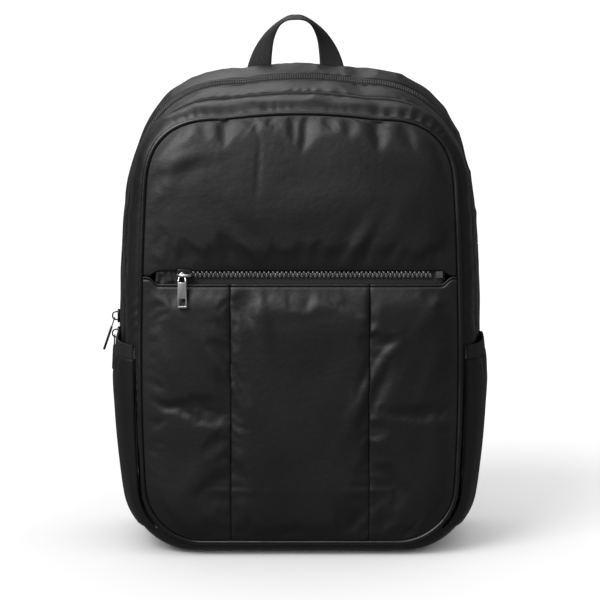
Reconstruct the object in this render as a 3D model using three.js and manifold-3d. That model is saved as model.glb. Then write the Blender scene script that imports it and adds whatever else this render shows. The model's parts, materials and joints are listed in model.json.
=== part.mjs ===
// A laptop backpack in millimetres. +Z is up, the front faces -Y and the origin is on the ground under the base.
import * as THREE from "three";
import { ParametricGeometry } from "three/addons/geometries/ParametricGeometry.js";
import { mergeVertices } from "three/addons/utils/BufferGeometryUtils.js";
import Module from "manifold-3d";

const wasm = await Module();
wasm.setup();

// The bag as a whole
const bagWidth = 320;
const bagHeight = 420;
const bagDepth = 144;
const topLean = 8;
const clothWall = 1.6;
const seamGap = 0.3;

// Front panel, its piping and the pocket zip in it
const pipingRadius = 2;
const frontPuff = 7;
const pocketPuff = 6;
const zipValley = 0.75;
const valleyFlat = 7;
const valleyWidth = 20;
const zipHeight = 248.6;
const zipLeftMargin = 42.5;
const zipRightMargin = 18.5;
const tapeMargin = 10.5;
const zipMeetDrop = 2;
const zipCloseHeight = 25;
const pocketSeam = 60;
const toothPitch = 3.8;
const toothWidth = 1.5;
const toothReach = 1.9;
const toothDepth = 2.7;
const chainHalf = 2.8;
const tapeHalf = 9;
const tapeDepth = 0.9;
const lipDrop = 8.4;
const stopLength = 6;

// Long zips that run over the top of the bag
const zipEnd = 150;
const zipEndStep = 4;
const frontZipWidth = 9;
const mainZipWidth = 14;
const coilProud = 1.2;
const coilShare = 0.34;
const frontZipDepth = -0.275;
const mainZipDepth = 0.105;

// Sliders and pulls
const plateThick = 1.8;
const plateFlange = 1;
const barRadius = 0.8;
const ringRadius = 2.5;
const ringWire = 0.8;
const pullThick = 1.6;
const plateCorner = 2.1;
const rimWidth = 1.2;
const rimShare = 0.8;
const bridgeShoulder = 0.62;
const bridgeCrown = 0.6;
const bridgeSink = 0.4;
const tabShoulder = 0.16;
const windowMargin = 0.35;
const windowRise = 1.2;
const slotInset = 0.2;
const frontSlider = { length: 13.5, width: 10.6, margin: 35.7 };
const pullShift = 2;
const frontPullSize = { length: 25.5, width: 8.2, neck: 4.6, window: 5.2 };
const sideSlider = { length: 12, width: 9.2, upper: 198.5, lower: 182.5 };
const sideArch = { length: 8.6, rise: 5.3, wire: 1.3 };
const sidePullSize = {
  length: 21.5, width: 7.4, neck: 5.4, window: 4.4, thick: 2, crossbar: 1.3, rail: 1.1,
  slot: { width: 2.6, length: 9 },
};
const sidePullLean = { upper: 19, lower: 3 };

// Side pockets
const pocketTop = 186;
const bandHeight = 12;
const bandWall = 2;
const pocketFoot = 24;
const pocketBulge = 7;
const pocketClear = 1.3;
const mouthDraw = 0.36;
const mouthReach = 45;
const swellLead = 0.85;
const pocketFront = -0.478;
const pocketBack = 0.048;

// Back, handle and shoulder straps
const backPad = 5;
const backPadDome = 3;
const webbingWall = 1.8;
const handleWidth = 90;
const handleRise = 46;
const handleOffset = -4;
const handleSetback = 2;
const handleWebbing = 25;
const strapPad = 8;
const strapWidth = 60;
const webbingWidth = 25;
const webbingBow = 3;
const strapRound = 0.25;
const adjuster = { width: 34, height: 22, thick: 4, bar: 4, corner: 3 };
const tabSize = { width: 32, thick: 2.2 };

// Outlines from the front seam to the back seam. depth, hip, shoulder, across and base are shares of the bag's
// depth and width, and top, bottom and drop are shares of its height.
const sections = [
  { depth: -0.5, hip: 0.433, shoulder: 0.405, top: 0.91, bottom: 0.029, across: 0.2, drop: 0.155, base: 0.15 },
  { depth: -0.42, hip: 0.46, shoulder: 0.427, top: 0.929, bottom: 0.006, across: 0.22, drop: 0.21, base: 0.148 },
  { depth: -0.28, hip: 0.478, shoulder: 0.44, top: 0.944, bottom: 0, across: 0.258, drop: 0.28, base: 0.146 },
  { depth: -0.1, hip: 0.487, shoulder: 0.447, top: 0.955, bottom: 0, across: 0.285, drop: 0.33, base: 0.146 },
  { depth: 0.05, hip: 0.497, shoulder: 0.447, top: 0.964, bottom: 0, across: 0.292, drop: 0.34, base: 0.146 },
  { depth: 0.16, hip: 0.503, shoulder: 0.451, top: 0.976, bottom: 0, across: 0.296, drop: 0.35, base: 0.146 },
  { depth: 0.46, hip: 0.486, shoulder: 0.442, top: 0.989, bottom: 0, across: 0.282, drop: 0.34, base: 0.146 },
  { depth: 0.5, hip: 0.464, shoulder: 0.426, top: 0.977, bottom: 0.01, across: 0.268, drop: 0.32, base: 0.146 },
];
const cornerRise = 2.9;
const cornerRun = 2.6;
const topCrown = 4.6;
const widestShare = 0.4;
const baseTaper = 0.05;
const outlineCounts = { base: 2, baseCorner: 5, low: 2, high: 3, corner: 7, top: 2 };

// Folds of the front cloth: centre, length, width and height as shares of the bag's width, and the fold's angle
// in degrees from +X. A dent has a negative height.
const folds = [
  { x: -0.36, z: 1.01, angle: 52, length: 0.12, width: 0.035, height: 0.012 },
  { x: -0.345, z: 1.06, angle: 20, length: 0.05, width: 0.03, height: -0.012 },
  { x: 0.37, z: 1.02, angle: 128, length: 0.14, width: 0.04, height: 0.01 },
  { x: -0.12, z: 0.84, angle: 120, length: 0.09, width: 0.03, height: 0.008 },
  { x: 0.15, z: 0.84, angle: 60, length: 0.08, width: 0.03, height: 0.008 },
  { x: -0.31, z: 0.6, angle: 130, length: 0.2, width: 0.045, height: 0.011 },
  { x: -0.25, z: 0.47, angle: 118, length: 0.2, width: 0.05, height: -0.009 },
  { x: 0.31, z: 0.58, angle: 52, length: 0.2, width: 0.045, height: 0.01 },
  { x: 0.25, z: 0.44, angle: 64, length: 0.2, width: 0.05, height: -0.008 },
];

// The handle from one foot to the middle of its crown. x is a share of half its width, rise of its rise, and back
// of the webbing's width, for the edge that starts outside and for the edge that starts inside.
const handleEdges = [
  { outerX: 1, outerRise: 0, outerBack: 0, innerX: 0.49, innerRise: 0, innerBack: 0 },
  { outerX: 0.93, outerRise: 0.2, outerBack: 0.04, innerX: 0.475, innerRise: 0.24, innerBack: -0.04 },
  { outerX: 0.82, outerRise: 0.43, outerBack: 0.1, innerX: 0.44, innerRise: 0.52, innerBack: -0.12 },
  { outerX: 0.64, outerRise: 0.66, outerBack: 0.2, innerX: 0.38, innerRise: 0.71, innerBack: -0.26 },
  { outerX: 0.4, outerRise: 0.85, outerBack: 0.36, innerX: 0.3, innerRise: 0.85, innerBack: -0.4 },
  { outerX: 0.16, outerRise: 0.98, outerBack: 0.46, innerX: 0.17, innerRise: 0.925, innerBack: -0.48 },
  { outerX: 0, outerRise: 1, outerBack: 0.48, innerX: 0, innerRise: 0.94, innerBack: -0.5 },
];

// A shoulder strap's pad from its top to its adjuster. x is a share of the bag's width, z of its height, off is the
// pad's clearance from the back as a share of the bag's depth, and wide a share of the strap's width.
const strapRun = [
  { x: 0.145, z: 0.93, off: 0.002, wide: 0.86 },
  { x: 0.15, z: 0.89, off: 0.02, wide: 0.92 },
  { x: 0.165, z: 0.81, off: 0.085, wide: 1 },
  { x: 0.19, z: 0.7, off: 0.15, wide: 1 },
  { x: 0.22, z: 0.57, off: 0.15, wide: 0.98 },
  { x: 0.25, z: 0.46, off: 0.11, wide: 0.88 },
  { x: 0.27, z: 0.39, off: 0.075, wide: 0.66 },
];
const anchor = { x: 0.35, z: 0.135 };
const anchorCorner = { x: 0.388, z: 0.07 };

const lerp = THREE.MathUtils.lerp;
const radians = THREE.MathUtils.degToRad;

// The outline at a depth, in millimetres.
function sectionAt(depth) {
  const last = sections.length - 2;
  const found = sections.findIndex((row) => row.depth > depth) - 1;
  const index = found < 0 ? last : found;
  const before = sections[index];
  const after = sections[index + 1];
  const share = (depth - before.depth) / (after.depth - before.depth);
  const value = (column, size) => lerp(before[column], after[column], share) * size;
  return {
    depth,
    hip: value("hip", bagWidth),
    shoulder: value("shoulder", bagWidth),
    across: value("across", bagWidth),
    base: value("base", bagWidth),
    top: value("top", bagHeight),
    bottom: value("bottom", bagHeight),
    drop: value("drop", bagHeight),
  };
}

// The outline moved inwards by a distance.
function inset(section, distance) {
  return {
    ...section,
    hip: section.hip - distance,
    shoulder: section.shoulder - distance,
    across: section.across - distance,
    drop: section.drop - distance,
    base: section.base - distance,
    top: section.top - distance,
    bottom: section.bottom + distance,
  };
}

// Where a share of the depth lies: the front leans back towards the top.
function depthAt(share, z) {
  const lean = share < 0 ? -2 * share * topLean * (z / bagHeight) ** 2 : 0;
  return share * bagDepth + lean;
}

// Half the width of an outline at height z, without its corners.
function sideAt(section, z) {
  const share = THREE.MathUtils.clamp(z / section.top, 0, 1);
  if (share > widestShare) {
    const rise = (share - widestShare) / (1 - widestShare);
    return lerp(section.hip, section.shoulder, rise ** 2);
  }
  return section.hip * (1 - baseTaper * (1 - share / widestShare) ** 2);
}

// Half the width of an outline at height z, with its round corners.
function edgeAt(section, z) {
  const side = sideAt(section, z);
  const up = (z - section.top + section.drop) / section.drop;
  if (up > 0) {
    return side - section.across * (1 - (1 - Math.min(up, 1) ** cornerRise) ** (1 / cornerRun));
  }
  const down = (section.bottom + section.base - z) / section.base;
  if (down > 0) {
    return side - section.base * (1 - Math.sqrt(1 - Math.min(down, 1) ** 2));
  }
  return side;
}

// How far the top's arch lifts a point at x and z above its straight outline.
function crownAt(section, x, z) {
  const flat = section.shoulder - section.across;
  const up = THREE.MathUtils.clamp((z - section.top + section.drop) / section.drop, 0, 1);
  return topCrown * up ** 4 * Math.max(1 - (x / flat) ** 2, 0);
}

function evenly(from, to, steps) {
  return Array.from({ length: steps + 1 }, (_, i) => lerp(from, to, i / steps));
}

// Heights up a base corner and up a top corner, closer together where the corner turns.
function baseCornerHeights(section, steps) {
  return evenly(-90, 0, steps).map((angle) => section.bottom + section.base * (1 + Math.sin(radians(angle))));
}

function topCornerHeights(section, steps) {
  const start = section.top - section.drop;
  return evenly(0, 90, steps).map((angle) => start + section.drop * Math.sin(radians(angle)) ** (2 / cornerRise));
}

// The whole outline as points with x and z, from the middle of the base up the right side and down the left.
function outline(section) {
  const low = section.bottom + section.base;
  const heights = [
    ...baseCornerHeights(section, outlineCounts.baseCorner).slice(0, -1),
    ...evenly(low, zipEnd - zipEndStep, outlineCounts.low),
    ...evenly(zipEnd, section.top - section.drop, outlineCounts.high).slice(0, -1),
    ...topCornerHeights(section, outlineCounts.corner),
  ];
  const side = heights.map((z) => ({ x: edgeAt(section, z), z }));
  const base = evenly(0, side[0].x, outlineCounts.base).slice(0, -1);
  const top = evenly(side[side.length - 1].x, 0, outlineCounts.top).slice(1);
  const right = [
    ...base.map((x) => ({ x, z: section.bottom })),
    ...side,
    ...top.map((x) => ({ x, z: section.top + crownAt(section, x, section.top) })),
  ];
  const left = right.slice(1, -1).reverse().map(({ x, z }) => ({ x: -x, z }));
  return [...right, ...left];
}
const zipStart = outlineCounts.base + outlineCounts.baseCorner + outlineCounts.low + 1;
const outlineCount = outline(sectionAt(0)).length;

// A closed mesh with shared vertices, no collapsed triangles and its faces pointing out.
function closedBody(geometry) {
  const bare = geometry.index ? geometry : geometry.clone();
  bare.deleteAttribute("normal");
  bare.deleteAttribute("uv");
  const merged = mergeVertices(bare, 1e-4);
  const place = merged.getAttribute("position");
  const corners = [];
  const ends = [new THREE.Vector3(), new THREE.Vector3(), new THREE.Vector3()];
  let volume = 0;
  for (let i = 0; i < merged.index.count; i += 3) {
    const [a, b, c] = [0, 1, 2].map((k) => merged.index.getX(i + k));
    if (a === b || b === c || c === a) {
      continue;
    }
    [a, b, c].forEach((corner, k) => ends[k].fromBufferAttribute(place, corner));
    volume += ends[0].dot(ends[1].clone().cross(ends[2]));
    corners.push([a, b, c]);
  }
  const facing = volume < 0 ? corners.map(([a, b, c]) => [a, c, b]) : corners;
  merged.setIndex(facing.flat());
  return merged;
}

// A body through rings of points. Its last ring joins the first, or each end ring is closed flat by a fold along
// its middle.
function throughRings(rings, closed) {
  const count = rings[0].length;
  const folded = (ring) => ring.map((point, k) => point.clone().lerp(ring[count - 1 - k], 0.5));
  const rows = closed ? [...rings, rings[0]] : [folded(rings[0]), ...rings, folded(rings[rings.length - 1])];
  const point = (u, v, target) => {
    const row = rows[Math.round(u * (rows.length - 1))];
    target.copy(row[Math.round(v * count) % count]);
  };
  return closedBody(new ParametricGeometry(point, rows.length - 1, count));
}

// The ring of one row of a wall: its outer points, then its inner points on the way back.
function wallRing(outer, inner) {
  return [...outer, ...inner.slice().reverse()];
}

function toSolid(geometry) {
  const body = closedBody(geometry);
  const mesh = new wasm.Mesh({
    numProp: 3,
    vertProperties: body.getAttribute("position").array,
    triVerts: new Uint32Array(body.index.array),
  });
  return new wasm.Manifold(mesh);
}

function toGeometry(solid) {
  const mesh = solid.getMesh();
  const geometry = new THREE.BufferGeometry();
  geometry.setAttribute("position", new THREE.BufferAttribute(mesh.vertProperties, 3));
  geometry.setIndex(new THREE.BufferAttribute(mesh.triVerts, 1));
  return geometry;
}

function joined(geometries) {
  return toGeometry(geometries.map(toSolid).reduce((whole, piece) => whole.add(piece)));
}

// A flat outline given a thickness along Z, centred on z = 0.
function plate(shape, thick) {
  const geometry = new THREE.ExtrudeGeometry(shape, { depth: thick, bevelEnabled: false, curveSegments: 4 });
  return geometry.translate(0, 0, -thick / 2);
}

function roundedRectangle(width, height, radius) {
  const x = width / 2;
  const y = height / 2;
  const shape = new THREE.Shape();
  shape.moveTo(-x + radius, -y);
  shape.lineTo(x - radius, -y);
  shape.absarc(x - radius, -y + radius, radius, -Math.PI / 2, 0);
  shape.absarc(x - radius, y - radius, radius, 0, Math.PI / 2);
  shape.absarc(-x + radius, y - radius, radius, Math.PI / 2, Math.PI);
  shape.absarc(-x + radius, -y + radius, radius, Math.PI, 1.5 * Math.PI);
  return shape;
}

const backpack = new THREE.Group();
const finishes = {
  cloth: { color: 0x17181a, roughness: 0.55, metalness: 0 },
  webbing: { color: 0x1b1c1e, roughness: 0.8, metalness: 0 },
  zipTape: { color: 0x141517, roughness: 0.85, metalness: 0 },
  coil: { color: 0x202123, roughness: 0.5, metalness: 0 },
  teeth: { color: 0x55565a, roughness: 0.4, metalness: 0.6 },
  gunmetal: { color: 0x6f7174, roughness: 0.35, metalness: 0.9 },
  plastic: { color: 0x1a1a1c, roughness: 0.5, metalness: 0 },
};

function addPiece(name, finish, geometry, parent = backpack) {
  const mesh = new THREE.Mesh(geometry, new THREE.MeshStandardMaterial(finishes[finish]));
  mesh.name = name;
  parent.add(mesh);
  return mesh;
}

// Cloth bands round the bag

// A band between two depths, each a function of an outline point's number, with rows at shares of its width.
function band(frontEdge, backEdge, shares) {
  const rings = [];
  const depths = (i) => shares.map((share) => lerp(frontEdge(i), backEdge(i), share));
  for (let i = 0; i < outlineCount; i += 1) {
    const face = (distance) =>
      depths(i).map((depth) => {
        const { x, z } = outline(inset(sectionAt(depth), distance))[i];
        return new THREE.Vector3(x, depthAt(depth, z), z);
      });
    rings.push(wallRing(face(0), face(clothWall)));
  }
  return throughRings(rings, true);
}

const gapShare = seamGap / bagDepth;
const besideZip = (i) => i >= zipStart && i <= outlineCount - zipStart;

function zipEdge(depth, width, direction) {
  const away = (width / 2 + seamGap) / bagDepth;
  return (i) => depth + direction * (besideZip(i) ? away : gapShare / 2);
}

const frontSeam = -0.5 + (pipingRadius + seamGap) / bagDepth;
addPiece("front_gusset", "cloth", band(() => frontSeam, zipEdge(frontZipDepth, frontZipWidth, -1), [0, 0.35, 1]));
addPiece(
  "side_gusset",
  "cloth",
  band(zipEdge(frontZipDepth, frontZipWidth, 1), zipEdge(mainZipDepth, mainZipWidth, -1), [0, 0.35, 0.7, 1]),
);
addPiece("back_gusset", "cloth", band(zipEdge(mainZipDepth, mainZipWidth, 1), () => 0.5, [0, 0.5, 0.88, 1]));

// Zips over the top

// A tape with a raised coil along its middle, from one side of the bag over the top to the other.
function archZip(depth, width) {
  const half = coilShare / 2;
  const profile = [
    { share: -0.5, proud: 0 },
    { share: -half - 0.04, proud: 0 },
    { share: -half, proud: coilProud },
    { share: half, proud: coilProud },
    { share: half + 0.04, proud: 0 },
    { share: 0.5, proud: 0 },
  ];
  const rings = [];
  for (let i = zipStart; i <= outlineCount - zipStart; i += 1) {
    const face = (distance) =>
      profile.map(({ share, proud }) => {
        const at = depth + (share * width) / bagDepth;
        const { x, z } = outline(inset(sectionAt(at), distance(proud)))[i];
        return new THREE.Vector3(x, depthAt(at, z), z);
      });
    rings.push(wallRing(face((proud) => -proud), face(() => clothWall)));
  }
  return throughRings(rings, false);
}
addPiece("front_compartment_zip", "coil", archZip(frontZipDepth, frontZipWidth));
addPiece("main_zip", "coil", archZip(mainZipDepth, mainZipWidth));

// Front piping: a cord in the seam, its section a hexagon.
function pipingRings() {
  const front = sectionAt(-0.5);
  const sides = 6;
  const angles = evenly(0, 360, sides).slice(0, -1).map(radians);
  return outline(front).map((_, i) =>
    angles.map((angle) => {
      const { x, z } = outline(inset(front, -pipingRadius * Math.cos(angle)))[i];
      return new THREE.Vector3(x, depthAt(-0.5, z) + pipingRadius * Math.sin(angle), z);
    }),
  );
}
addPiece("front_piping", "cloth", throughRings(pipingRings(), true));

// Front cloth

function foldHeight(x, z) {
  let height = 0;
  for (const fold of folds) {
    const turn = radians(fold.angle);
    const dx = x - fold.x * bagWidth;
    const dz = z - fold.z * bagWidth;
    const along = (dx * Math.cos(turn) + dz * Math.sin(turn)) / (fold.length * bagWidth);
    const acrossFold = (dz * Math.cos(turn) - dx * Math.sin(turn)) / (fold.width * bagWidth);
    height += fold.height * bagWidth * Math.exp(-(along ** 2) - acrossFold ** 2);
  }
  return height;
}

// How far the front cloth stands out at a point: a soft swell that dies at the piping and is held in by the zip,
// and the folds.
function frontOut(edge, x, z, puff) {
  const half = edgeAt(edge, z);
  const held = Math.exp(-Math.max(Math.abs(z - zipHeight) - valleyFlat, 0) / valleyWidth);
  const sideways = (1 - Math.min(Math.abs(x) / half, 1) ** (3 + 3 * held)) * (1 - zipValley * held);
  const top = (edge.top - z) / edge.drop;
  const bottom = (z - edge.bottom) / edge.base;
  const upright = Math.sqrt(Math.min(Math.max(Math.min(top, bottom), 0), 1));
  return sideways * upright * (puff + foldHeight(x, z));
}

const panelEdge = inset(sectionAt(-0.5), pipingRadius + seamGap);
const panelHalf = edgeAt(panelEdge, zipHeight);
const zipLeft = zipLeftMargin - panelHalf;
const zipRight = panelHalf - zipRightMargin;
const tapeLeft = tapeMargin - panelHalf;
const tapeRight = panelHalf - tapeMargin;
const tapeShare = tapeRight / panelHalf;

function frontPoint(x, z, puff, back) {
  const out = frontOut(panelEdge, x, z, puff);
  const height = z + crownAt(panelEdge, x, z);
  return new THREE.Vector3(x, depthAt(-0.5, z) - out - clothWall / 2 + back, height);
}

// A cloth through rows at the given heights, with its columns from a function of height. Beyond the ends of the
// zip its edge at mouth moves towards the zip, until the cloths above and below it meet.
function frontCloth(heights, columns, puff, mouth) {
  const meet = zipHeight - zipMeetDrop + (Math.sign(mouth - zipHeight) * seamGap) / 2;
  const closing = (x, z) => {
    const beyond = (Math.abs(x) / edgeAt(panelEdge, z) - tapeShare) / (1 - tapeShare);
    const near = 1 - Math.abs(z - mouth) / zipCloseHeight;
    return (meet - mouth) * Math.max(beyond, 0) * Math.max(near, 0);
  };
  const rings = heights.map((z) => {
    const face = (back) =>
      columns(z).map((x) => {
        const point = frontPoint(x, z, puff, back);
        return point.setZ(point.z + closing(x, z));
      });
    return wallRing(face(0), face(clothWall));
  });
  return throughRings(rings, false);
}

const upperMouth = zipHeight + chainHalf + seamGap;
const upperHeights = [
  ...evenly(upperMouth, panelEdge.top - panelEdge.drop, 6).slice(0, -1),
  ...topCornerHeights(panelEdge, outlineCounts.corner),
];
const upperShares = [-1, ...evenly(-tapeShare, tapeShare, 12), 1];
const upperColumns = (z) => upperShares.map((share) => share * edgeAt(panelEdge, z));
addPiece("front_panel", "cloth", frontCloth(upperHeights, upperColumns, frontPuff, upperMouth));

const pocketMouth = zipHeight - lipDrop;
const lowerHeights = [
  ...baseCornerHeights(panelEdge, outlineCounts.baseCorner).slice(0, -1),
  ...evenly(panelEdge.bottom + panelEdge.base, pocketMouth, 8),
];

// The columns of a side cloth of the pocket, from its seam to the panel's edge.
function sideColumns(side, z) {
  const edge = edgeAt(panelEdge, z);
  const seam = pocketSeam + seamGap / 2;
  const xs = [...evenly(seam, lerp(seam, edge, (tapeRight - seam) / (panelHalf - seam)), 4), edge];
  return xs.map((x) => side * x);
}
const centreHalf = pocketSeam - seamGap / 2;
const pocketCloths = [
  { name: "left", columns: (z) => sideColumns(-1, z).reverse() },
  { name: "centre", columns: () => evenly(-centreHalf, centreHalf, 6) },
  { name: "right", columns: (z) => sideColumns(1, z) },
];
for (const { name, columns } of pocketCloths) {
  addPiece("pocket_panel_" + name, "cloth", frontCloth(lowerHeights, columns, pocketPuff, pocketMouth));
}

// Front pocket zip

// The tapes follow the back of the cloth, and the straight chain stands just in front of them.

function tapeFace(x) {
  const backs = [frontPuff, pocketPuff].map((puff) => frontPoint(x, zipHeight, puff, clothWall).y);
  return Math.max(...backs) + seamGap;
}

function zipTape(side) {
  const near = zipHeight + (side * seamGap) / 2;
  const far = near + side * tapeHalf;
  const rings = evenly(tapeLeft, tapeRight, 12).map((x) => {
    const face = tapeFace(x);
    return [
      new THREE.Vector3(x, face, near),
      new THREE.Vector3(x, face, far),
      new THREE.Vector3(x, face + tapeDepth, far),
      new THREE.Vector3(x, face + tapeDepth, near),
    ];
  });
  return throughRings(rings, false);
}

// In the zip's own group x runs along the zip, y up, and z out of the front.
const zipGroup = new THREE.Group();
const chainPlane = Math.min(...evenly(zipLeft, tapeRight, 24).map(tapeFace));
zipGroup.position.set(0, chainPlane, zipHeight);
zipGroup.rotation.x = Math.PI / 2;
backpack.add(zipGroup);

// One row of teeth on its rail, half a pitch from the other row.
function zipTeeth(side) {
  const rail = chainHalf - toothReach / 2;
  const shape = new THREE.Shape();
  const start = zipLeft + (side > 0 ? 0 : toothPitch / 2);
  const count = Math.floor((zipRight - start) / toothPitch);
  const end = start + count * toothPitch;
  shape.moveTo(end, side * chainHalf);
  shape.lineTo(start, side * chainHalf);
  for (let i = 0; i < count; i += 1) {
    const left = start + i * toothPitch;
    const right = left + toothWidth;
    shape.lineTo(left, side * -(toothReach / 2));
    shape.lineTo(right, side * -(toothReach / 2));
    shape.lineTo(right, side * rail);
    shape.lineTo(left + toothPitch, side * rail);
  }
  return plate(shape, toothDepth).translate(0, 0, seamGap + toothDepth / 2);
}
for (const [name, side] of [["upper", 1], ["lower", -1]]) {
  addPiece("front_zip_tape_" + name, "zipTape", zipTape(side));
  addPiece("front_zip_teeth_" + name, "teeth", zipTeeth(side), zipGroup);
}
const stop = new THREE.BoxGeometry(stopLength, 2 * chainHalf, toothDepth);
stop.translate(zipRight + seamGap + stopLength / 2, 0, seamGap + toothDepth / 2);
addPiece("front_zip_stop", "teeth", stop, zipGroup);

// Sliders and pulls

// A slider's body in its own group: its length along x, its face towards +z, and the chain's top at z = 0.
function sliderShell({ length, width }, chainWidth) {
  const face = plate(roundedRectangle(length, width, plateCorner), plateThick);
  face.translate(0, 0, seamGap + plateThick / 2);
  const rims = [-1, 1].map((side) => {
    const rim = new THREE.BoxGeometry(length * rimShare, rimWidth, plateThick + plateFlange);
    const across = side * (chainWidth / 2 + seamGap + rimWidth / 2);
    return rim.translate(0, across, seamGap + (plateThick - plateFlange) / 2);
  });
  return [face, ...rims];
}
const plateFace = seamGap + plateThick;

// The bridge over a slider: an arch whose opening looks along y. Its shoulders slope in to a flat crown.
function bridge(length, rise, wire) {
  const shape = new THREE.Shape();
  const half = length / 2;
  const crown = half * bridgeCrown;
  const shoulder = rise * bridgeShoulder;
  const inner = half - wire;
  const innerCrown = crown - wire * (1 - bridgeCrown) * 0.75;
  const innerShoulder = shoulder - wire * (1 - bridgeCrown);
  shape.moveTo(half, -bridgeSink);
  shape.lineTo(half, shoulder);
  shape.lineTo(crown, rise);
  shape.lineTo(-crown, rise);
  shape.lineTo(-half, shoulder);
  shape.lineTo(-half, -bridgeSink);
  shape.lineTo(-inner, -bridgeSink);
  shape.lineTo(-inner, innerShoulder);
  shape.lineTo(-innerCrown, rise - wire);
  shape.lineTo(innerCrown, rise - wire);
  shape.lineTo(inner, innerShoulder);
  shape.lineTo(inner, -bridgeSink);
  return plate(shape, wire).rotateX(Math.PI / 2).translate(0, 0, plateFace);
}

// A pull's tab hanging along -y from y = 0, with a window near its free end.
function tabOutline({ length, width, neck, window }) {
  const shape = new THREE.Shape();
  const shoulder = -length * tabShoulder;
  shape.moveTo(-neck / 2, 0);
  shape.lineTo(-width / 2, shoulder);
  shape.lineTo(-width / 2, -length);
  shape.lineTo(width / 2, -length);
  shape.lineTo(width / 2, shoulder);
  shape.lineTo(neck / 2, 0);
  const hole = new THREE.Path();
  const low = -length + window * windowMargin;
  hole.moveTo(-window / 2, low);
  hole.lineTo(window / 2, low);
  hole.lineTo(window / 2, low + window * windowRise);
  hole.lineTo(-window / 2, low + window * windowRise);
  shape.holes.push(hole);
  return shape;
}

// The front slider and its pull, which hangs from a ring round the bridge.
const frontBridge = ringRadius + ringWire + seamGap + 2 * barRadius;
const sliderGroup = new THREE.Group();
sliderGroup.position.set(frontSlider.margin - panelHalf, 0, seamGap + toothDepth);
zipGroup.add(sliderGroup);
const frontShell = sliderShell(frontSlider, 2 * chainHalf);
const frontSliderBody = joined([...frontShell, bridge(frontSlider.length * 0.78, frontBridge, 2 * barRadius)]);
addPiece("front_slider", "gunmetal", frontSliderBody, sliderGroup);
const pullRing = new THREE.TorusGeometry(ringRadius, ringWire, 5, 10).rotateY(Math.PI / 2);
const frontTab = plate(tabOutline(frontPullSize), pullThick).translate(0, -ringRadius, 0);
const frontPull = addPiece("front_pull", "gunmetal", joined([pullRing, frontTab]), sliderGroup);
frontPull.position.set(-pullShift, 0, plateFace + frontBridge - barRadius);

// A side pull hangs by a slot through which the arch passes. Its crossbar is its hinge, at the origin.
function sidePullBody({ crossbar, slot, rail, thick, ...tab }) {
  const outer = crossbar / 2;
  const half = slot.width / 2;
  const loop = new THREE.Shape();
  loop.moveTo(-half - rail, outer);
  loop.lineTo(-half - rail, -slot.length);
  loop.lineTo(half + rail, -slot.length);
  loop.lineTo(half + rail, outer);
  const hole = new THREE.Path();
  hole.moveTo(-half, -outer);
  hole.lineTo(half, -outer);
  hole.lineTo(half, -slot.length + slotInset);
  hole.lineTo(-half, -slot.length + slotInset);
  loop.holes.push(hole);
  const plateTab = plate(tabOutline(tab), thick).translate(0, -slot.length + slotInset, 0);
  return joined([plate(loop, crossbar), plateTab]);
}

// The two sliders of the main zip on the left side. Their length runs up the zip. The upper pull leans on the
// lower slider, and the lower one on the pocket's mouth.
const mainSection = sectionAt(mainZipDepth);
const sidePullOut = sideArch.rise - sideArch.wire - sidePullSize.crossbar / 2 - 2 * seamGap;
const sidePullDrop = sideArch.length / 2 - sideArch.wire - sidePullSize.crossbar / 2 - 2 * seamGap;
for (const [name, z, lean] of [
  ["upper", sideSlider.upper, sidePullLean.upper],
  ["lower", sideSlider.lower, sidePullLean.lower],
]) {
  const group = new THREE.Group();
  group.position.set(-edgeAt(mainSection, z) - coilProud - seamGap, depthAt(mainZipDepth, z), z);
  const out = new THREE.Vector3(-1, 0, 0);
  const up = new THREE.Vector3(0, 0, 1);
  group.setRotationFromMatrix(new THREE.Matrix4().makeBasis(up, out.clone().cross(up), out));
  backpack.add(group);
  const shell = sliderShell(sideSlider, mainZipWidth / 2);
  const arch = bridge(sideArch.length, sideArch.rise, sideArch.wire);
  addPiece("main_slider_" + name, "gunmetal", joined([...shell, arch]), group);
  const holder = new THREE.Group();
  holder.position.set(-sidePullDrop, 0, plateFace + sidePullOut);
  holder.rotation.y = radians(lean);
  group.add(holder);
  addPiece("main_pull_" + name, "gunmetal", sidePullBody(sidePullSize).rotateZ(-Math.PI / 2), holder);
}

// The plain slider of the front compartment's zip, down in the left pocket.
const hiddenHeight = zipEnd + sideSlider.length;
const hiddenSlider = plate(roundedRectangle(sideSlider.width, sideSlider.length, plateCorner), plateThick);
hiddenSlider.rotateY(-Math.PI / 2);
const hidden = addPiece("front_compartment_slider", "gunmetal", hiddenSlider);
const hiddenOut = edgeAt(sectionAt(frontZipDepth), hiddenHeight) + coilProud + seamGap + plateThick / 2;
hidden.position.set(-hiddenOut, depthAt(frontZipDepth, hiddenHeight), hiddenHeight);

// Side pockets

// A pocket's inner face at a depth and height, out from the middle of the bag. It swells upwards, most a little in
// front of its middle, and its band draws it in again at the mouth.
function pocketAt(depth, z) {
  const share = ((depth - pocketFront) / (pocketBack - pocketFront)) ** swellLead;
  const rise = Math.min((z - pocketFoot) / (pocketTop - pocketFoot), 1);
  const near = Math.max(Math.min((z - pocketTop + mouthReach) / mouthReach, 1), 0);
  const swell = Math.sin(Math.PI * share) ** 0.7 * Math.sin((rise * Math.PI) / 2) * (1 - mouthDraw * near ** 2);
  return edgeAt(sectionAt(depth), z) + pocketClear + pocketBulge * swell;
}

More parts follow.
